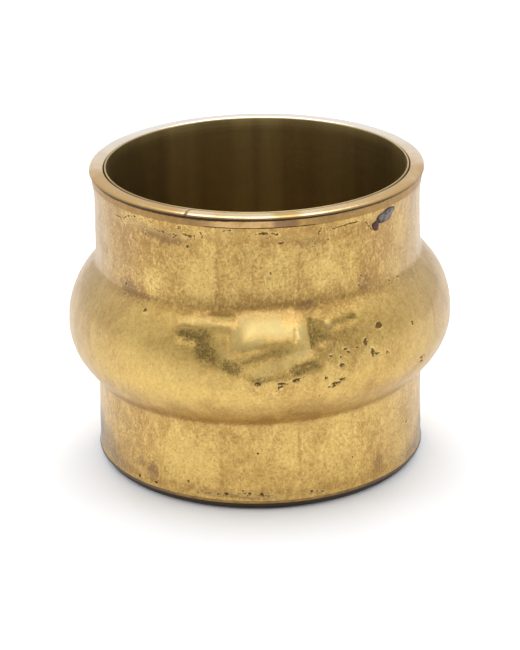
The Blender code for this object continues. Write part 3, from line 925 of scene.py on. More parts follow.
# Painted shade in the olive hollows round the boss, which hold olive patina; the boss's pale metal with
# painted highlights; the brown edge over it, tarnish with painted shade of the upper crease; and flecked
# places: half width in mm and strength, then the points of a line as an angle in degrees and a height in mm
HOLLOW_PATINA_AND_SHADE_BANDS = (
    (7.5, 1.0, (-22.0, 84.6), (-18.0, 84.0), (-15.8, 79.5)),
    (3.0, 0.45, (-24.5, 85.8), (-14.5, 86.6)),
    (5.5, 0.60, (-16.0, 79.0), (-12.5, 75.8), (-8.0, 73.5)),
    (4.5, 0.50, (-9.0, 73.5), (-4.5, 70.0), (-1.5, 68.0)),
    (6.5, 0.45, (-6.2, 77.2), (-2.0, 79.8), (3.0, 81.6), (7.0, 82.2)),
    (2.4, 0.75, (15.9, 91.3), (15.5, 88.0), (15.2, 82.3)),
    (4.4, 0.60, (17.5, 86.0), (20.8, 84.4)),
    (5.0, 0.40, (16.5, 90.0), (17.5, 80.0)),
    (4.6, 0.90, (11.0, 72.8), (13.5, 74.0), (16.4, 74.0)),
    (3.4, 0.60, (23.5, 88.5), (26.5, 89.0), (30.0, 90.0)),
    (2.2, 0.35, (30.0, 90.0), (35.0, 90.5)),
    (2.6, 0.65, (-14.5, 92.0), (-8.6, 92.4)),
    (3.4, 0.45, (-0.5, 67.8), (4.5, 69.0), (10.5, 70.0)),
    (6.0, 0.30, (1.0, 70.5), (9.0, 72.5)),
    (1.8, 0.40, (-9.2, 87.5), (-8.0, 82.3)),
    (1.6, 0.40, (10.5, 89.3), (10.2, 85.8)),
    (11.0, 0.26, (-3.0, 75.0), (12.0, 75.0)),
    (3.0, 0.40, (24.0, 84.0), (28.0, 86.5)),
    (2.2, 0.35, (28.5, 84.5), (33.0, 87.5)),
)
# pale metal of the boss, with painted highlights where the top light strikes it
PALE_METAL_AND_HIGHLIGHT_BANDS = (
    (5.4, 0.8, (-4.0, 90.6), (4.5, 90.8)),
    (4.2, 0.6, (5.0, 89.5), (13.0, 88.5)),
    (3.6, 0.2, (-5.0, 93.6), (9.0, 93.8)),
    (3.0, 0.6, (-6.5, 87.5), (-6.0, 84.5), (0.0, 86.0)),
    (3.2, 0.3, (12.5, 87.0), (12.5, 81.5)),
    (4.6, 0.4, (-1.0, 71.5), (2.0, 73.8), (6.2, 76.3), (11.5, 80.0)),
    (2.6, 0.4, (-24.0, 90.2), (-21.5, 90.4), (-14.8, 91.2), (-9.0, 91.2)),
    (1.8, 0.8, (21.0, 88.8), (21.3, 88.8)),
    (1.8, 0.5, (-11.0, 79.5), (-8.8, 76.0)),
)
BROWN_BANDS = (
    # the next three: painted shade of the upper crease with tarnish, over the boss and along the crease to
    # both sides
    (4.6, 1.2, (-16.0, 94.0), (-8.2, 94.8), (2.8, 96.2), (10.2, 95.8), (15.8, 94.8)),
    (3.2, 0.6, (15.8, 95.2), (27.0, 95.5), (38.0, 98.0)),
    (3.2, 0.6, (-60.0, 94.0), (-40.0, 94.0), (-16.0, 94.2)),
    (5.0, 0.7, (-60.0, 126.5), (-20.0, 128.0), (20.0, 128.0), (45.0, 125.5)),
    (3.5, 0.7, (-55.0, 8.0), (0.0, 8.0), (50.0, 8.0)),
    (1.5, 0.9, (13.2, 41.0), (13.0, 28.0), (13.6, 14.0)),
    (1.4, 0.7, (13.6, 119.0), (13.2, 110.0), (14.0, 100.0)),
    (1.4, 0.7, (-2.0, 122.0), (-1.6, 112.0), (-2.2, 102.0)),
    (1.4, 0.6, (-14.0, 118.0), (-13.4, 108.0), (-14.2, 98.0)),
    (1.4, 0.5, (-13.0, 39.0), (-13.6, 24.0), (-13.2, 12.0)),
)
FLECK_BANDS = (
    (2.4, 0.32, (-23.5, 6.8), (-11.5, 7.5)),
    (2.4, 0.34, (-7.2, 7.8), (1.0, 7.0), (7.5, 6.4)),
    (2.0, 0.34, (16.5, 7.6), (22.2, 6.5)),
    (4.0, 0.20, (-52.0, 11.0), (-40.0, 9.0)),
    (5.0, 0.24, (-58.0, 127.0), (-42.0, 128.5), (-22.0, 127.0)),
    (5.0, 0.18, (-20.0, 129.0), (10.0, 129.0), (28.0, 127.0)),
    (7.0, 0.16, (20.0, 76.0), (36.0, 76.0)),
)

# Width in mm over which grime goes from none to full at a pit's edge, and flecks everywhere, in the
# hollows and in brown places
GRIME_SPAN = 1.6
FLECKS = 0.03
RECESS_FLECKS = 0.16
BROWN_FLECKS = 0.06

# Purple-brown stains and crinkled places: angle in degrees, height, half width, half height in mm, and
# strength
STAIN_MARKS = (
    (-50.0, 97.0, 5.0, 4.0, 0.8),
    (-43.0, 95.5, 9.0, 1.6, 0.7),
    (-32.0, 125.5, 9.0, 3.6, 1.0),
    (-45.0, 128.0, 8.0, 2.4, 0.6),
    (-41.0, 126.0, 3.0, 3.0, 0.6),
    (16.0, 96.5, 5.0, 2.5, 0.7),
    (38.0, 101.5, 4.0, 4.5, 0.8),
    (16.5, 124.5, 8.0, 3.0, 0.5),
    (-40.5, 11.5, 3.2, 4.5, 1.0),
    (-46.0, 14.0, 3.0, 3.0, 0.6),
    (45.0, 12.5, 3.0, 4.0, 0.7),
    (-17.0, 7.2, 9.0, 1.4, 0.8),
    (-2.0, 6.6, 12.0, 1.3, 0.8),
    (19.5, 7.0, 5.0, 1.3, 0.7),
    (12.0, 47.5, 8.0, 2.0, 0.5),
    (-66.0, 14.0, 9.0, 7.0, 0.7),
)
CRINKLED_MARKS = (
    (-50.0, 112.0, 24.0, 20.0, 0.3),
    (-20.8, 107.5, 6.0, 9.0, -0.3),
    (26.0, 80.0, 16.0, 12.0, 0.6),
    (-48.0, 22.0, 20.0, 14.0, 0.2),
    (-27.0, 21.0, 13.0, 9.0, -0.3),
    (4.0, 64.0, 16.0, 6.0, 0.4),
)

# Painted reflection of the floor's shadow, grey, low on the sides, in the same terms
SHADOW_REFLECTION_MARKS = (
    (-83.0, 15.0, 15.0, 10.0, 0.9),
    (82.0, 11.0, 15.0, 9.0, 0.7),
    (-62.0, 8.0, 12.0, 4.0, 0.5),
    (62.0, 7.0, 12.0, 4.0, 0.5),
)

# Softness of the marks and of the stains, and the painted shade in the lower crease, a brown line: its height
# over the belt's foot and its reach
MARK_EDGE = 1.4
STAIN_EDGE = 1.2
CREASE_SHADE_LINE = 0.0020
CREASE_SHADE_REACH = 0.0024

# Painted shade on the sides: strength, where it starts and how it comes on, where it ends behind and what it
# loses there, and the share that is left under the belt
SIDE_SHADE_STRENGTH = 0.6
SIDE_SHADE_START = math.radians(33.0)
SIDE_SHADE_SPAN = 0.72
SIDE_SHADE_END = math.radians(95.0)
SIDE_SHADE_END_SPAN = 0.5
SIDE_SHADE_END_LOSS = 0.7
SIDE_SHADE_FOOT_SHARE = 0.6
SIDE_SHADE_FOOT_Z = 0.035
SIDE_SHADE_FOOT_SPAN = 0.030

# Crinkles on the belt, and more of them over and under it, from its edges on
CRINKLED = 0.08
CRINKLED_OVER = 0.62
CRINKLED_UNDER = 0.45
CRINKLED_OVER_START = 0.006
CRINKLED_UNDER_START = 0.004
CRINKLED_SPAN = 0.008


def jacket_masks(angle, height):
    """Patina with painted shade along the creases, stains, crinkles, hollows with olive patina and painted
    shade, pale boss with painted highlights, grime, painted shade on the sides and a grey painted reflection
    of the shadow low on them, over the jacket. Grime is 0.5 at the edge of a pit or crack, more inside it,
    and lower where there are only flecks."""
    crease = height - BELT_CREST_Z + BELT_DROP - BELT_TILT * np.sin(angle)
    # painted shade in the lower crease, added to the brown mask
    lower = np.exp(-((crease - CREASE_SHADE_LINE) / CREASE_SHADE_REACH) ** 2)
    brown = ovals(angle, height, BROWN_MARKS, MARK_EDGE) + bands(angle, height, BROWN_BANDS) + lower
    # browner towards each strip's left edge
    brown += STRIP_LEFT_BROWN * strip_share(angle) * off_belt(height)
    # painted shade of the hollows round the boss, with their olive patina
    hollow_patina_and_shade = np.clip(bands(angle, height, HOLLOW_PATINA_AND_SHADE_BANDS), 0.0, 1.0)
    flecks = FLECKS + bands(angle, height, FLECK_BANDS)
    flecks += RECESS_FLECKS * hollow_patina_and_shade + BROWN_FLECKS * np.clip(brown, 0.0, 1.0)
    grime = np.maximum(0.5 + pit_depth(angle, height) / GRIME_SPAN, flecks)
    side = np.abs(angle)
    # painted shade on the sides, from the angle off the front
    behind = ease((side - SIDE_SHADE_END) / SIDE_SHADE_END_SPAN)
    low = SIDE_SHADE_FOOT_SHARE + (1.0 - SIDE_SHADE_FOOT_SHARE) * ease((height - SIDE_SHADE_FOOT_Z) / SIDE_SHADE_FOOT_SPAN)
    side_shade = ease((side - SIDE_SHADE_START) / SIDE_SHADE_SPAN) * (1.0 - SIDE_SHADE_END_LOSS * behind) * low
    over = ease((height - BELT_CREST_Z - BELT_RISE + CRINKLED_OVER_START) / CRINKLED_SPAN)
    under = ease((BELT_CREST_Z - BELT_DROP + CRINKLED_UNDER_START - height) / CRINKLED_SPAN)
    crinkled = CRINKLED + CRINKLED_OVER * over + CRINKLED_UNDER * under
    crinkled = crinkled + ovals(angle, height, CRINKLED_MARKS, MARK_EDGE)
    return {
        "brown": np.clip(brown, -1.0, 1.2),
        "stain": np.clip(ovals(angle, height, STAIN_MARKS, STAIN_EDGE), 0.0, 1.0),
        "crinkled": np.clip(crinkled, 0.0, 1.0),
        "hollow_patina_and_shade": hollow_patina_and_shade,
        "pale": np.clip(bands(angle, height, PALE_METAL_AND_HIGHLIGHT_BANDS), 0.0, 0.9),
        "grime": np.clip(grime, 0.0, 1.0),
        "side_shade": side_shade * SIDE_SHADE_STRENGTH,
        "shadow_grey": np.clip(ovals(angle, height, SHADOW_REFLECTION_MARKS, MARK_EDGE), 0.0, 1.0),
    }


# Columns round the cup, steps along its corner, lip, wall and floor, the height over which streaks fade out
# above the floor, where that starts as a share of it, and the streaks of painted reflection down its back,
# each a middle and a half width in radians
CUP_COLUMNS = 256
CORNER_STEPS = 9
LIP_STEPS = 7
CUP_WALL_STEPS = 24
CUP_FLOOR_STEPS = 8
STREAK_FADE = 0.020
STREAK_START = 0.5
CUP_REFLECTION_STREAKS = ((0.10, 0.07), (-0.10, 0.07), (-0.62, 0.14), (0.55, 0.12), (-1.45, 0.30))


def make_cup():
    """The liner: a turned section up its inside from the floor's middle, over a rounded edge and down its
    outside to the middle of its underside."""
    inner = CUP_RADIUS - CUP_SHEET
    floor = CUP_FOOT_Z + CUP_SHEET
    half = CUP_SHEET / 2.0
    rise = np.linspace(-math.pi / 2.0, 0.0, CORNER_STEPS)
    centre = np.array([CUP_RADIUS - CUP_CORNER, CUP_FOOT_Z + CUP_CORNER])
    arc = section(np.cos(rise), np.sin(rise))
    inside_corner = centre + arc * (CUP_CORNER - CUP_SHEET)
    outside_corner = (centre + arc * CUP_CORNER)[::-1]
    lip = np.linspace(math.pi, 0.0, LIP_STEPS)
    edge = section(inner + half + half * np.cos(lip), CUP_TOP_Z - half + half * np.sin(lip))
    wall_z = np.linspace(inside_corner[-1, 1], CUP_TOP_Z - half, CUP_WALL_STEPS)[1:-1]
    inside = section(inner, wall_z)
    outside = section(CUP_RADIUS, wall_z)[::-1]
    floor_r = np.linspace(0.0, inside_corner[0, 0], CUP_FLOOR_STEPS)[:-1]
    floor_in = section(floor_r, floor)
    floor_out = section(floor_r, CUP_FOOT_Z)[::-1]
    profile = np.concatenate([floor_in, inside_corner, inside, edge, outside, outside_corner, floor_out])
    behind = around(CUP_COLUMNS) - math.pi
    streak = sum(near(behind - middle, reach, 1.0) for middle, reach in CUP_REFLECTION_STREAKS)
    on_wall = ease((profile[1:-1, 1:] - CUP_FOOT_Z) / STREAK_FADE - STREAK_START)
    return turned_piece("cup", profile, CUP_COLUMNS, True, {"streak": with_ends(on_wall * streak)})


# Bead: columns, steps over its section, the powers that flatten its sides and crown, its waviness with a
# count of waves and a seed, and how far its ends are drawn in over what reach
BEAD_COLUMNS = 420
BEAD_STEPS = 19
BEAD_SIDE_POWER = 0.85
BEAD_CROWN_POWER = 0.8
BEAD_WAVE = 0.00008
BEAD_WAVES = 46
BEAD_SEED = 31
END_DRAW = 0.04
END_REACH = 0.0008

# Its stains, the two wide ones tan to both sides: angle in degrees, half width, strength and softness. Its
# painted white reflection round the back: where that starts and how it comes on, in radians. Painted shade on
# its section at the inner foot and up to the outer foot, and grime at the joint over what reach
BEAD_STAINS = (
    (9.8, 0.0056, 1.0, 1.5),
    (-55.0, 0.036, 0.8, 0.6),
    (55.0, 0.038, 0.7, 0.6),
)
BACK_REFLECTION_START = 1.3
BACK_REFLECTION_SPAN = 1.1
BEAD_FOOT_SHADE = (0.6, 0.2, 0.7, 1.0)
JOINT_GRIME = 0.6
JOINT_REACH = 0.0002


def make_bead():
    """The rim bead: a flattened half round carried round the mouth from one side of its butt joint to the
    other, with both ends closed and drawn in a little where they were filed."""
    split = BEAD_SPLIT_WIDTH / 2.0 / BEAD_RADIUS
    angle = BEAD_SPLIT_ANGLE + np.linspace(split, TURN - split, BEAD_COLUMNS)
    turn = np.linspace(math.pi, 0.0, BEAD_STEPS)[:, None]
    half = BEAD_WIDTH / 2.0
    round_r = half * np.sign(np.cos(turn)) * np.abs(np.cos(turn)) ** BEAD_SIDE_POWER
    round_z = (BEAD_TOP_Z - BEAD_FOOT_Z) * np.sin(turn) ** BEAD_CROWN_POWER
    wave = BEAD_WAVE * round_ripple(angle, BEAD_WAVES, BEAD_SEED)
    away = np.minimum(angle - angle[0], angle[-1] - angle) * BEAD_RADIUS
    drawn = 1.0 - END_DRAW * (1.0 - ease(away / END_REACH))
    body = round_point(BEAD_RADIUS - half + round_r * drawn + wave, angle, BEAD_FOOT_Z + round_z * drawn)
    ends = body.mean(axis=0)[[0, -1]]
    points = np.concatenate([body.reshape(-1, 3), ends])
    quads = grid_faces(BEAD_STEPS, BEAD_COLUMNS, True).reshape(BEAD_STEPS, BEAD_COLUMNS, 4)
    row = np.arange(BEAD_STEPS)
    start = row * BEAD_COLUMNS
    after = (row + 1) % BEAD_STEPS * BEAD_COLUMNS
    last = BEAD_COLUMNS - 1
    pole = np.full(BEAD_STEPS, BEAD_STEPS * BEAD_COLUMNS)
    fans = np.concatenate([
        np.stack([pole, after, start], -1),
        np.stack([pole + 1, start + last, after + last], -1),
    ])
    return new_piece("bead", points, quads[:, :-1].reshape(-1, 4), fans, bead_masks(angle, away))


def bead_masks(angle, away):
    """Stains, the painted reflection round the back, and painted shade at the foot with grime at the joint,
    over the bead, from the angles of its columns and their way from the joint."""
    wrapped = from_front(angle)
    stain = np.zeros_like(wrapped)
    for degrees, half_width, amount, edge in BEAD_STAINS:
        stain += amount * near((wrapped - math.radians(degrees)) * BEAD_RADIUS, half_width, edge)
    # painted white reflection, away from the front
    back_reflection = ease((np.abs(wrapped) - BACK_REFLECTION_START) / BACK_REFLECTION_SPAN)
    underside = np.zeros((BEAD_STEPS, 1))
    # painted shade at the inner and outer foot
    underside[[0, -3, -2, -1], 0] = BEAD_FOOT_SHADE
    joint = JOINT_GRIME * (1.0 - ease(away / JOINT_REACH))
    every_row = np.ones((BEAD_STEPS, 1))
    return {
        "stain": with_ends(every_row * np.minimum(stain, 1.0)),
        "back_reflection": with_ends(every_row * back_reflection),
        "grime": np.append(np.maximum(underside, joint).ravel(), (1.0, 1.0)),
    }


# Collar: columns, rows of its face, softened edge, and waviness with a count of waves and a seed
COLLAR_COLUMNS = 420
COLLAR_ROWS = 12
COLLAR_SOFT = 0.00025
COLLAR_WAVE = 0.00007
COLLAR_WAVES = 60
COLLAR_SEED = 41

# Its seam, which shows in front: middle, half angle and softness of the ends, raggedness of the edge with
# a count of teeth and a seed, and grime
SEAM_MIDDLE = math.radians(1.0)
SEAM_HALF = math.radians(20.0)
SEAM_EDGE = 0.3
SEAM_RAGGED = 0.00012
SEAM_TEETH = 130
SEAM_SEED = 42
SEAM_GRIME = 0.7

# Painted shade in the groove under the bead: its depth at the left and elsewhere, and the left stretch in
# radians with the softness of its ends
GROOVE_SHADE_LEFT = 0.0011
GROOVE_SHADE_REST = 0.0007
GROOVE_SHADE_LEFT_MIDDLE = -0.78
GROOVE_SHADE_LEFT_HALF = 0.62
GROOVE_SHADE_LEFT_EDGE = 0.5

# Stains on the collar: angle in degrees, half width, half height, strength and softness. Half angle and
# softness of its plain front, which is painted lighter than the sides with their painted shade, its patina
# and its crinkles
COLLAR_STAINS = (
    (9.3, 0.0056, 0.0040, 1.0, 1.5),
    (-20.0, 0.008, 1.0, 0.5, 0.8),
)
LIT_FRONT_HALF = math.radians(17.0)
LIT_FRONT_EDGE = 0.6
COLLAR_BROWN = 0.5
COLLAR_CRINKLED = 0.6


def make_collar():
    """The strip under the bead: a thin upright section, waved a little, whose lower edge is soft and uneven
    in front and flush with the jacket elsewhere. Its grime mask, painted shade in the groove under the bead
    and grime along the seam in front, is 0.5 at the edge of the groove's painted shade."""
    angle = around(COLLAR_COLUMNS)[None, :]
    wrapped = from_front(angle)
    seam = near(wrapped - SEAM_MIDDLE, SEAM_HALF, SEAM_EDGE)
    flat = np.ones_like(angle)
    foot_soft = CRISP + (COLLAR_SOFT - CRISP) * seam
    face_top = COLLAR_TOP_Z - COLLAR_SOFT
    share = np.linspace(0.0, 1.0, COLLAR_ROWS)[:, None]
    face_z = face_top + share * (COLLAR_FOOT_Z + foot_soft - face_top)
    foot_z = COLLAR_FOOT_Z * flat
    top_z = COLLAR_TOP_Z * flat
    height = np.concatenate([face_z, foot_z, foot_z, top_z, top_z])
    wave = COLLAR_WAVE * round_ripple(angle, COLLAR_WAVES, COLLAR_SEED) * seam
    face = np.tile(COLLAR_RADIUS + wave, (COLLAR_ROWS, 1))
    inner = (COLLAR_RADIUS - COLLAR_SHEET) * flat
    top_edge = (COLLAR_RADIUS - COLLAR_SOFT) * flat
    radius = np.concatenate([face, COLLAR_RADIUS - foot_soft, inner, inner, top_edge])
    below = COLLAR_TOP_Z - height
    low = np.zeros((len(height), 1))
    low[COLLAR_ROWS - 1:COLLAR_ROWS + 2] = 1.0
    teeth = 1.0 + round_ripple(angle, SEAM_TEETH, SEAM_SEED)
    height = height + low * seam * SEAM_RAGGED * teeth
    left = near(wrapped - GROOVE_SHADE_LEFT_MIDDLE, GROOVE_SHADE_LEFT_HALF, GROOVE_SHADE_LEFT_EDGE)
    # depth of the painted shade under the bead
    groove = GROOVE_SHADE_REST + (GROOVE_SHADE_LEFT - GROOVE_SHADE_REST) * left
    grime = np.maximum(low * seam * SEAM_GRIME, 0.5 + (groove - below) / MM / GRIME_SPAN)
    up = height - (COLLAR_TOP_Z + COLLAR_FOOT_Z) / 2.0
    stain = np.zeros_like(height)
    for degrees, half_width, half_height, amount, edge in COLLAR_STAINS:
        across = (wrapped - math.radians(degrees)) * COLLAR_RADIUS
        stain += amount * spot(across, up, half_width, half_height, edge)
    masks = {
        "stain": np.clip(stain, 0.0, 1.0),
        "grime": np.clip(grime, 0.0, 1.0),
        # plain front, painted lighter than the sides
        "plain": near(wrapped + 0.0 * height, LIT_FRONT_HALF, LIT_FRONT_EDGE),
        "brown": np.full_like(height, COLLAR_BROWN),
        "crinkled": np.full_like(height, COLLAR_CRINKLED),
    }
    points = round_point(radius, angle, height)
    return new_piece("collar", points, grid_faces(len(radius), COLLAR_COLUMNS, True), masks=masks)


# Steps round a rounded corner
BEND_STEPS = 7


def rounded_ring(outer, inner, top, foot, top_soft, foot_soft):
    """A square section with its outer corners rounded by the two radii, run down the outer side."""
    turn = np.linspace(math.pi / 2.0, 0.0, BEND_STEPS)
    bend = section(np.cos(turn) - 1.0, np.sin(turn) - 1.0)
    upper = np.array([outer, top]) + top_soft * bend
    lower = (np.array([outer, foot]) + foot_soft * bend * np.array([1.0, -1.0]))[::-1]
    return np.concatenate([upper, lower, [(inner, foot), (inner, top)]])


# Columns of the plate and the foot, the plate's rounded edges, its inner row's share of its radius, and
# painted shade in grey on its rim: in front, more of it to the sides, and where that starts and how it comes
# on
RING_COLUMNS = 256
PLATE_TOP_SOFT = 0.0002
PLATE_FOOT_SOFT = 0.0005
PLATE_INNER_SHARE = 0.6
PLATE_SHADE = 0.25
PLATE_SIDE_SHADE = 0.65
PLATE_SHADE_START = math.radians(15.0)
PLATE_SHADE_SPAN = math.radians(35.0)
FOOT_TOP_SOFT = 0.0003
FOOT_FOOT_SOFT = 0.0018


def make_plate():
    """The base plate: a disc with a rounded rim."""
    rim = rounded_ring(PLATE_RADIUS, 0.0, PLATE_TOP_Z, PLATE_FOOT_Z, PLATE_TOP_SOFT, PLATE_FOOT_SOFT)[:-2]
    inner = PLATE_RADIUS * PLATE_INNER_SHARE
    upper = [(0.0, PLATE_TOP_Z), (inner, PLATE_TOP_Z)]
    under = [(inner, PLATE_FOOT_Z), (0.0, PLATE_FOOT_Z)]
    profile = np.concatenate([upper, rim, under])
    angle = around(RING_COLUMNS)
    side = math.pi - np.abs(angle - math.pi)
    # grey painted shade on the rim, more of it to the sides
    shadow_grey = PLATE_SHADE + PLATE_SIDE_SHADE * ease((side - PLATE_SHADE_START) / PLATE_SHADE_SPAN)
    every_row = np.ones((len(profile) - 2, 1))
    return turned_piece("plate", profile, RING_COLUMNS, True, {"shadow_grey": with_ends(every_row * shadow_grey)})


def make_foot():
    """The foot ring: a square section with rounded outer corners."""
    inner = FOOT_RADIUS - FOOT_WIDTH
    profile = rounded_ring(FOOT_RADIUS, inner, FOOT_TOP_Z, 0.0, FOOT_TOP_SOFT, FOOT_FOOT_SOFT)
    return turned_piece("foot", profile, RING_COLUMNS)


# Solder blot and the drop beside it: angle in degrees, height, half width, half height and rise in mm,
# and slope
BLOTS = (
    (48.9, 128.9, 5.6, 3.2, 0.8, 0.10),
    (43.9, 125.6, 2.1, 2.4, 0.7, -0.2),
)

# Rings and columns of a drop, the waves of its outline, each a share, a count and a start, the lumps of
# its face, a share and a count, and how far its rim and its back stand off the wall in mm
BLOT_RINGS = 14
BLOT_COLUMNS = 64
BLOT_WAVES = ((0.08, 2.0, 0.7), (0.07, 3.0, -1.0), (0.05, 5.0, 0.0))
BLOT_LUMPS = (0.15, 9.0)
BLOT_SEAT = 0.1
BLOT_BACK = 0.05


def blot_cap(degrees, middle, half_width, half_height, rise, slope):
    """Points of one drop of solder on the wall: rings from the middle of a flat back out to its rim, then
    from the rim of the face in to its top. The outline is an oval waved by three sines, and the face
    falls off as the square of the distance to it."""
    turn = around(BLOT_COLUMNS)[None, :]
    reach = np.linspace(1.0, 0.0, BLOT_RINGS)[:-1, None]
    outline = 1.0 + sum(share * np.sin(count * turn + start) for share, count, start in BLOT_WAVES)
    across = half_width * outline * reach * np.cos(turn)
    angle = math.radians(degrees) + across * MM / COLLAR_RADIUS
    height = (middle + half_height * outline * reach * np.sin(turn) + slope * across) * MM
    seat = jacket_radius(angle, height) + BLOT_SEAT * MM
    lump_share, lump_count = BLOT_LUMPS
    lumps = lump_share * np.sin(lump_count * turn) * reach * (1.0 - reach)
    front = round_point(seat + rise * (1.0 - reach ** 2 + lumps) * MM, angle, height)
    back = round_point(seat - BLOT_BACK * MM, angle, height)[::-1]
    centre = jacket_radius(math.radians(degrees), middle * MM) + BLOT_SEAT * MM
    ends_r = np.array([centre - BLOT_BACK * MM, centre + rise * MM])
    return np.concatenate([back, front]), round_point(ends_r, math.radians(degrees), middle * MM)


def blot_rim(rows):
    """1 on a drop's back and at the rim of its face, easing to 0 a third of the way in, with both middles
    after."""
    face = ease(1.0 - 3.0 * np.linspace(0.0, 1.0, rows // 2))
    rings = np.concatenate([np.ones(rows - len(face)), face])
    return np.append(np.repeat(rings, BLOT_COLUMNS), (1.0, 0.0))


def make_blot():
    """The solder blot and its drop, each a closed cap."""
    points, quads, fans, brown, rim = [], [], [], [], []
    start = 0
    for index, sizes in enumerate(BLOTS):
        body, ends = blot_cap(*sizes)
        rows = len(body)
        points.append(np.concatenate([body.reshape(-1, 3), ends]))
        quads.append(grid_faces(rows, BLOT_COLUMNS, False) + start)
        fans.append(pole_fans(rows, BLOT_COLUMNS) + start)
        brown.append(np.full(len(points[-1]), float(index)))
        rim.append(blot_rim(rows))
        start += len(points[-1])
    masks = {"brown": np.concatenate(brown), "rim": np.concatenate(rim)}
    return new_piece("blot", np.concatenate(points), np.concatenate(quads), np.concatenate(fans), masks)


def build_pot():
    """Every visible piece over its node, and a finish for the two solder rings, whose solids stay."""
    settle(make_jacket(), hammered_brass(), "hammered_brass", "outer_wall")
    settle(make_cup(), cup_brass(), "cup_brass", "inner_cup")
    settle(make_bead(), bead_brass(), "bead_brass", "rim_bead")
    settle(make_collar(), collar_brass(), "collar_brass", "rim_collar")
    settle(make_plate(), plate_brass(), "plate_brass", "base_plate")
    settle(make_foot(), dark_foot(), "dark_foot", "foot_ring")
    settle(make_blot(), solder("tarnished_solder"), "tarnished_solder", "solder_patch")
    hidden = solder("soft_solder")
    for node in ("rim_solder", "base_solder"):
        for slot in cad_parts[node].material_slots:
            slot.material = hidden


# Studio

# Floor: its size, its colour, and its greyer colour in the metal near the pot and far off, with the distances
# between which that changes, measured with the sides counted for more
FLOOR_SIZE = 6.0
FLOOR_WHITE = (0.870, 0.885, 0.910)
FLOOR_NEAR = (0.85, 0.85, 0.86)
FLOOR_FAR = (0.70, 0.70, 0.72)
NEAR_DISTANCE = 0.10
FAR_DISTANCE = 0.50
SIDE_SCALE = 1.5

# Light of the surroundings on the floor and the pot, its share from the front, and the room that the
# metal mirrors: its share in front, and what it loses to both sides. Each span says between which parts
# of a direction, from front to back or from the middle to a side, that changes
AMBIENT = 0.52
AMBIENT_FRONT = 0.4
AMBIENT_SPAN = (-0.95, -0.05)
MIRRORED_FRONT = 0.5
MIRRORED_SPAN = (-0.75, 0.05)
MIRRORED_SIDE_LOSS = 0.24
MIRRORED_SIDE_SPAN = (0.2, 1.0)

# Softbox over the pot, and the point that all lamps are turned to
TOP_PLACE = (0.0, -0.10, 1.3)
TOP_SIZE = (1.5, 1.2)
TOP_POWER = 9.5
LAMP_AIM = (0.0, 0.0, 0.05)

# Low lights round the sides and the back: angles from the front in degrees, distance, height, size and power
SIDE_ANGLES = (-95.0, -140.0, 180.0, 140.0, 95.0)
SIDE_DISTANCE = 1.6
SIDE_HEIGHT = 0.55
SIDE_SIZE = (1.4, 0.9)
SIDE_POWER = 15.0


def add_floor():
    """A pale floor that keeps the pot's shadow, reads as white where it is open, and is greyer in the metal,
    most where it lies far off."""
    points = np.array([(-1, -1, 0), (1, -1, 0), (1, 1, 0), (-1, 1, 0)]) * FLOOR_SIZE / 2.0
    floor = new_piece("floor", points, np.array([[0, 1, 2, 3]]))
    finish = Finish("floor")
    place = finish.stretched(SIDE_SCALE, 1.0, 1.0)
    away = finish.node("ShaderNodeVectorMath", {"operation": "LENGTH"}, {0: place}, "Value")
    mirrored = finish.mix(FLOOR_NEAR, FLOOR_FAR, away.between(NEAR_DISTANCE, FAR_DISTANCE))
    finish.set(Base_Color=finish.mix(FLOOR_WHITE, mirrored, finish.ray("Is Glossy Ray")))
    finish.set(Roughness=0.9, Specular_IOR_Level=0.0)
    floor.data.materials.append(finish.material)


def add_world():
    """White to the camera. The metal mirrors a white room that is darker in front and to both sides, and
    the even light on the floor and the pot is lower in front too."""
    world = bpy.data.worlds.new("studio")
    bpy.context.scene.world = world
    world.use_nodes = True
    nodes = Nodes(world.node_tree)
    place = nodes.node("ShaderNodeTexCoord", output="Generated")
    back = nodes.node("ShaderNodeSeparateXYZ", sockets={0: place}, output="Y")
    side = nodes.node("ShaderNodeSeparateXYZ", sockets={0: place}, output="X").size()
    mirrored = MIRRORED_FRONT + back.between(*MIRRORED_SPAN) * (1.0 - MIRRORED_FRONT)
    mirrored = mirrored * (1.0 - side.between(*MIRRORED_SIDE_SPAN) * MIRRORED_SIDE_LOSS)
    light = (AMBIENT_FRONT + back.between(*AMBIENT_SPAN) * (1.0 - AMBIENT_FRONT)) * AMBIENT
    light = light + (mirrored - light) * nodes.ray("Is Glossy Ray")
    light = light + (1.0 - light) * nodes.ray("Is Camera Ray")
    light = light + (1.0 - light) * nodes.ray("Is Transmission Ray")
    background = world.node_tree.nodes["Background"]
    nodes.feed(background.inputs["Strength"], light)
    nodes.feed(background.inputs["Color"], (1.0, 1.0, 1.0))


def look(thing, side, over, forward, place):
    """Turns a lamp or a camera by its three axes and puts it in its place."""
    thing.matrix_world = Matrix(np.column_stack([side, over, -forward]).tolist()).to_4x4()
    thing.location = place


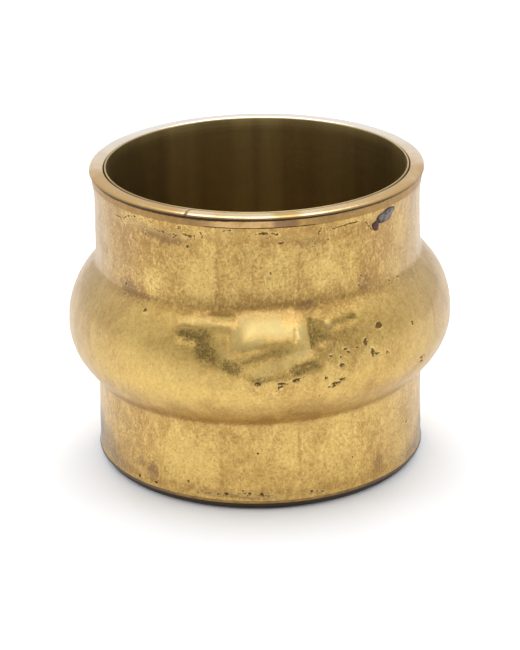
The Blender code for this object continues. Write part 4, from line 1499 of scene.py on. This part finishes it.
def add_softbox(name, place, size, power, mirrored=True):
    """An area light at a place, turned towards the pot, and left out of the metal where mirrored is false."""
    light = bpy.data.lights.new(name, "AREA")
    light.shape = "RECTANGLE"
    light.size, light.size_y = size
    light.energy = power
    lamp = bpy.data.objects.new(name, light)
    bpy.context.scene.collection.objects.link(lamp)
    forward = np.subtract(LAMP_AIM, place)
    forward = forward / np.linalg.norm(forward)
    side = np.cross(forward, (0.0, 0.0, 1.0))
    side = side / np.linalg.norm(side)
    look(lamp, side, np.cross(side, forward), forward, place)
    lamp.visible_glossy = mirrored


def add_camera():
    """The photograph's viewpoint: straight in front, looking down, rolled a little."""
    camera = bpy.data.cameras.new("camera")
    camera.sensor_width = SENSOR_MM
    camera.lens = FOCAL_PIXELS * SENSOR_MM / max(PHOTO_WIDTH, PHOTO_HEIGHT)
    camera.clip_start = CAMERA_NEAREST
    viewer = bpy.data.objects.new("camera", camera)
    bpy.context.scene.collection.objects.link(viewer)
    forward = np.array([
        math.sin(CAMERA_YAW) * math.cos(CAMERA_PITCH),
        math.cos(CAMERA_YAW) * math.cos(CAMERA_PITCH),
        -math.sin(CAMERA_PITCH),
    ])
    right = np.array([math.cos(CAMERA_YAW), -math.sin(CAMERA_YAW), 0.0])
    up = np.cross(right, forward)
    side = math.cos(CAMERA_ROLL) * right + math.sin(CAMERA_ROLL) * up
    over = math.cos(CAMERA_ROLL) * up - math.sin(CAMERA_ROLL) * right
    look(viewer, side, over, forward, (0.0, -CAMERA_BACK, CAMERA_UP))
    bpy.context.scene.camera = viewer


def build_studio():
    """Floor, surroundings, lamps and camera."""
    add_floor()
    add_world()
    add_softbox("top", TOP_PLACE, TOP_SIZE, TOP_POWER)
    for degrees in SIDE_ANGLES:
        place = round_point(SIDE_DISTANCE, math.radians(degrees), SIDE_HEIGHT)
        add_softbox("side", place, SIDE_SIZE, SIDE_POWER, mirrored=False)
    add_camera()
    bpy.context.scene.view_settings.view_transform = "Standard"


build_pot()
build_studio()
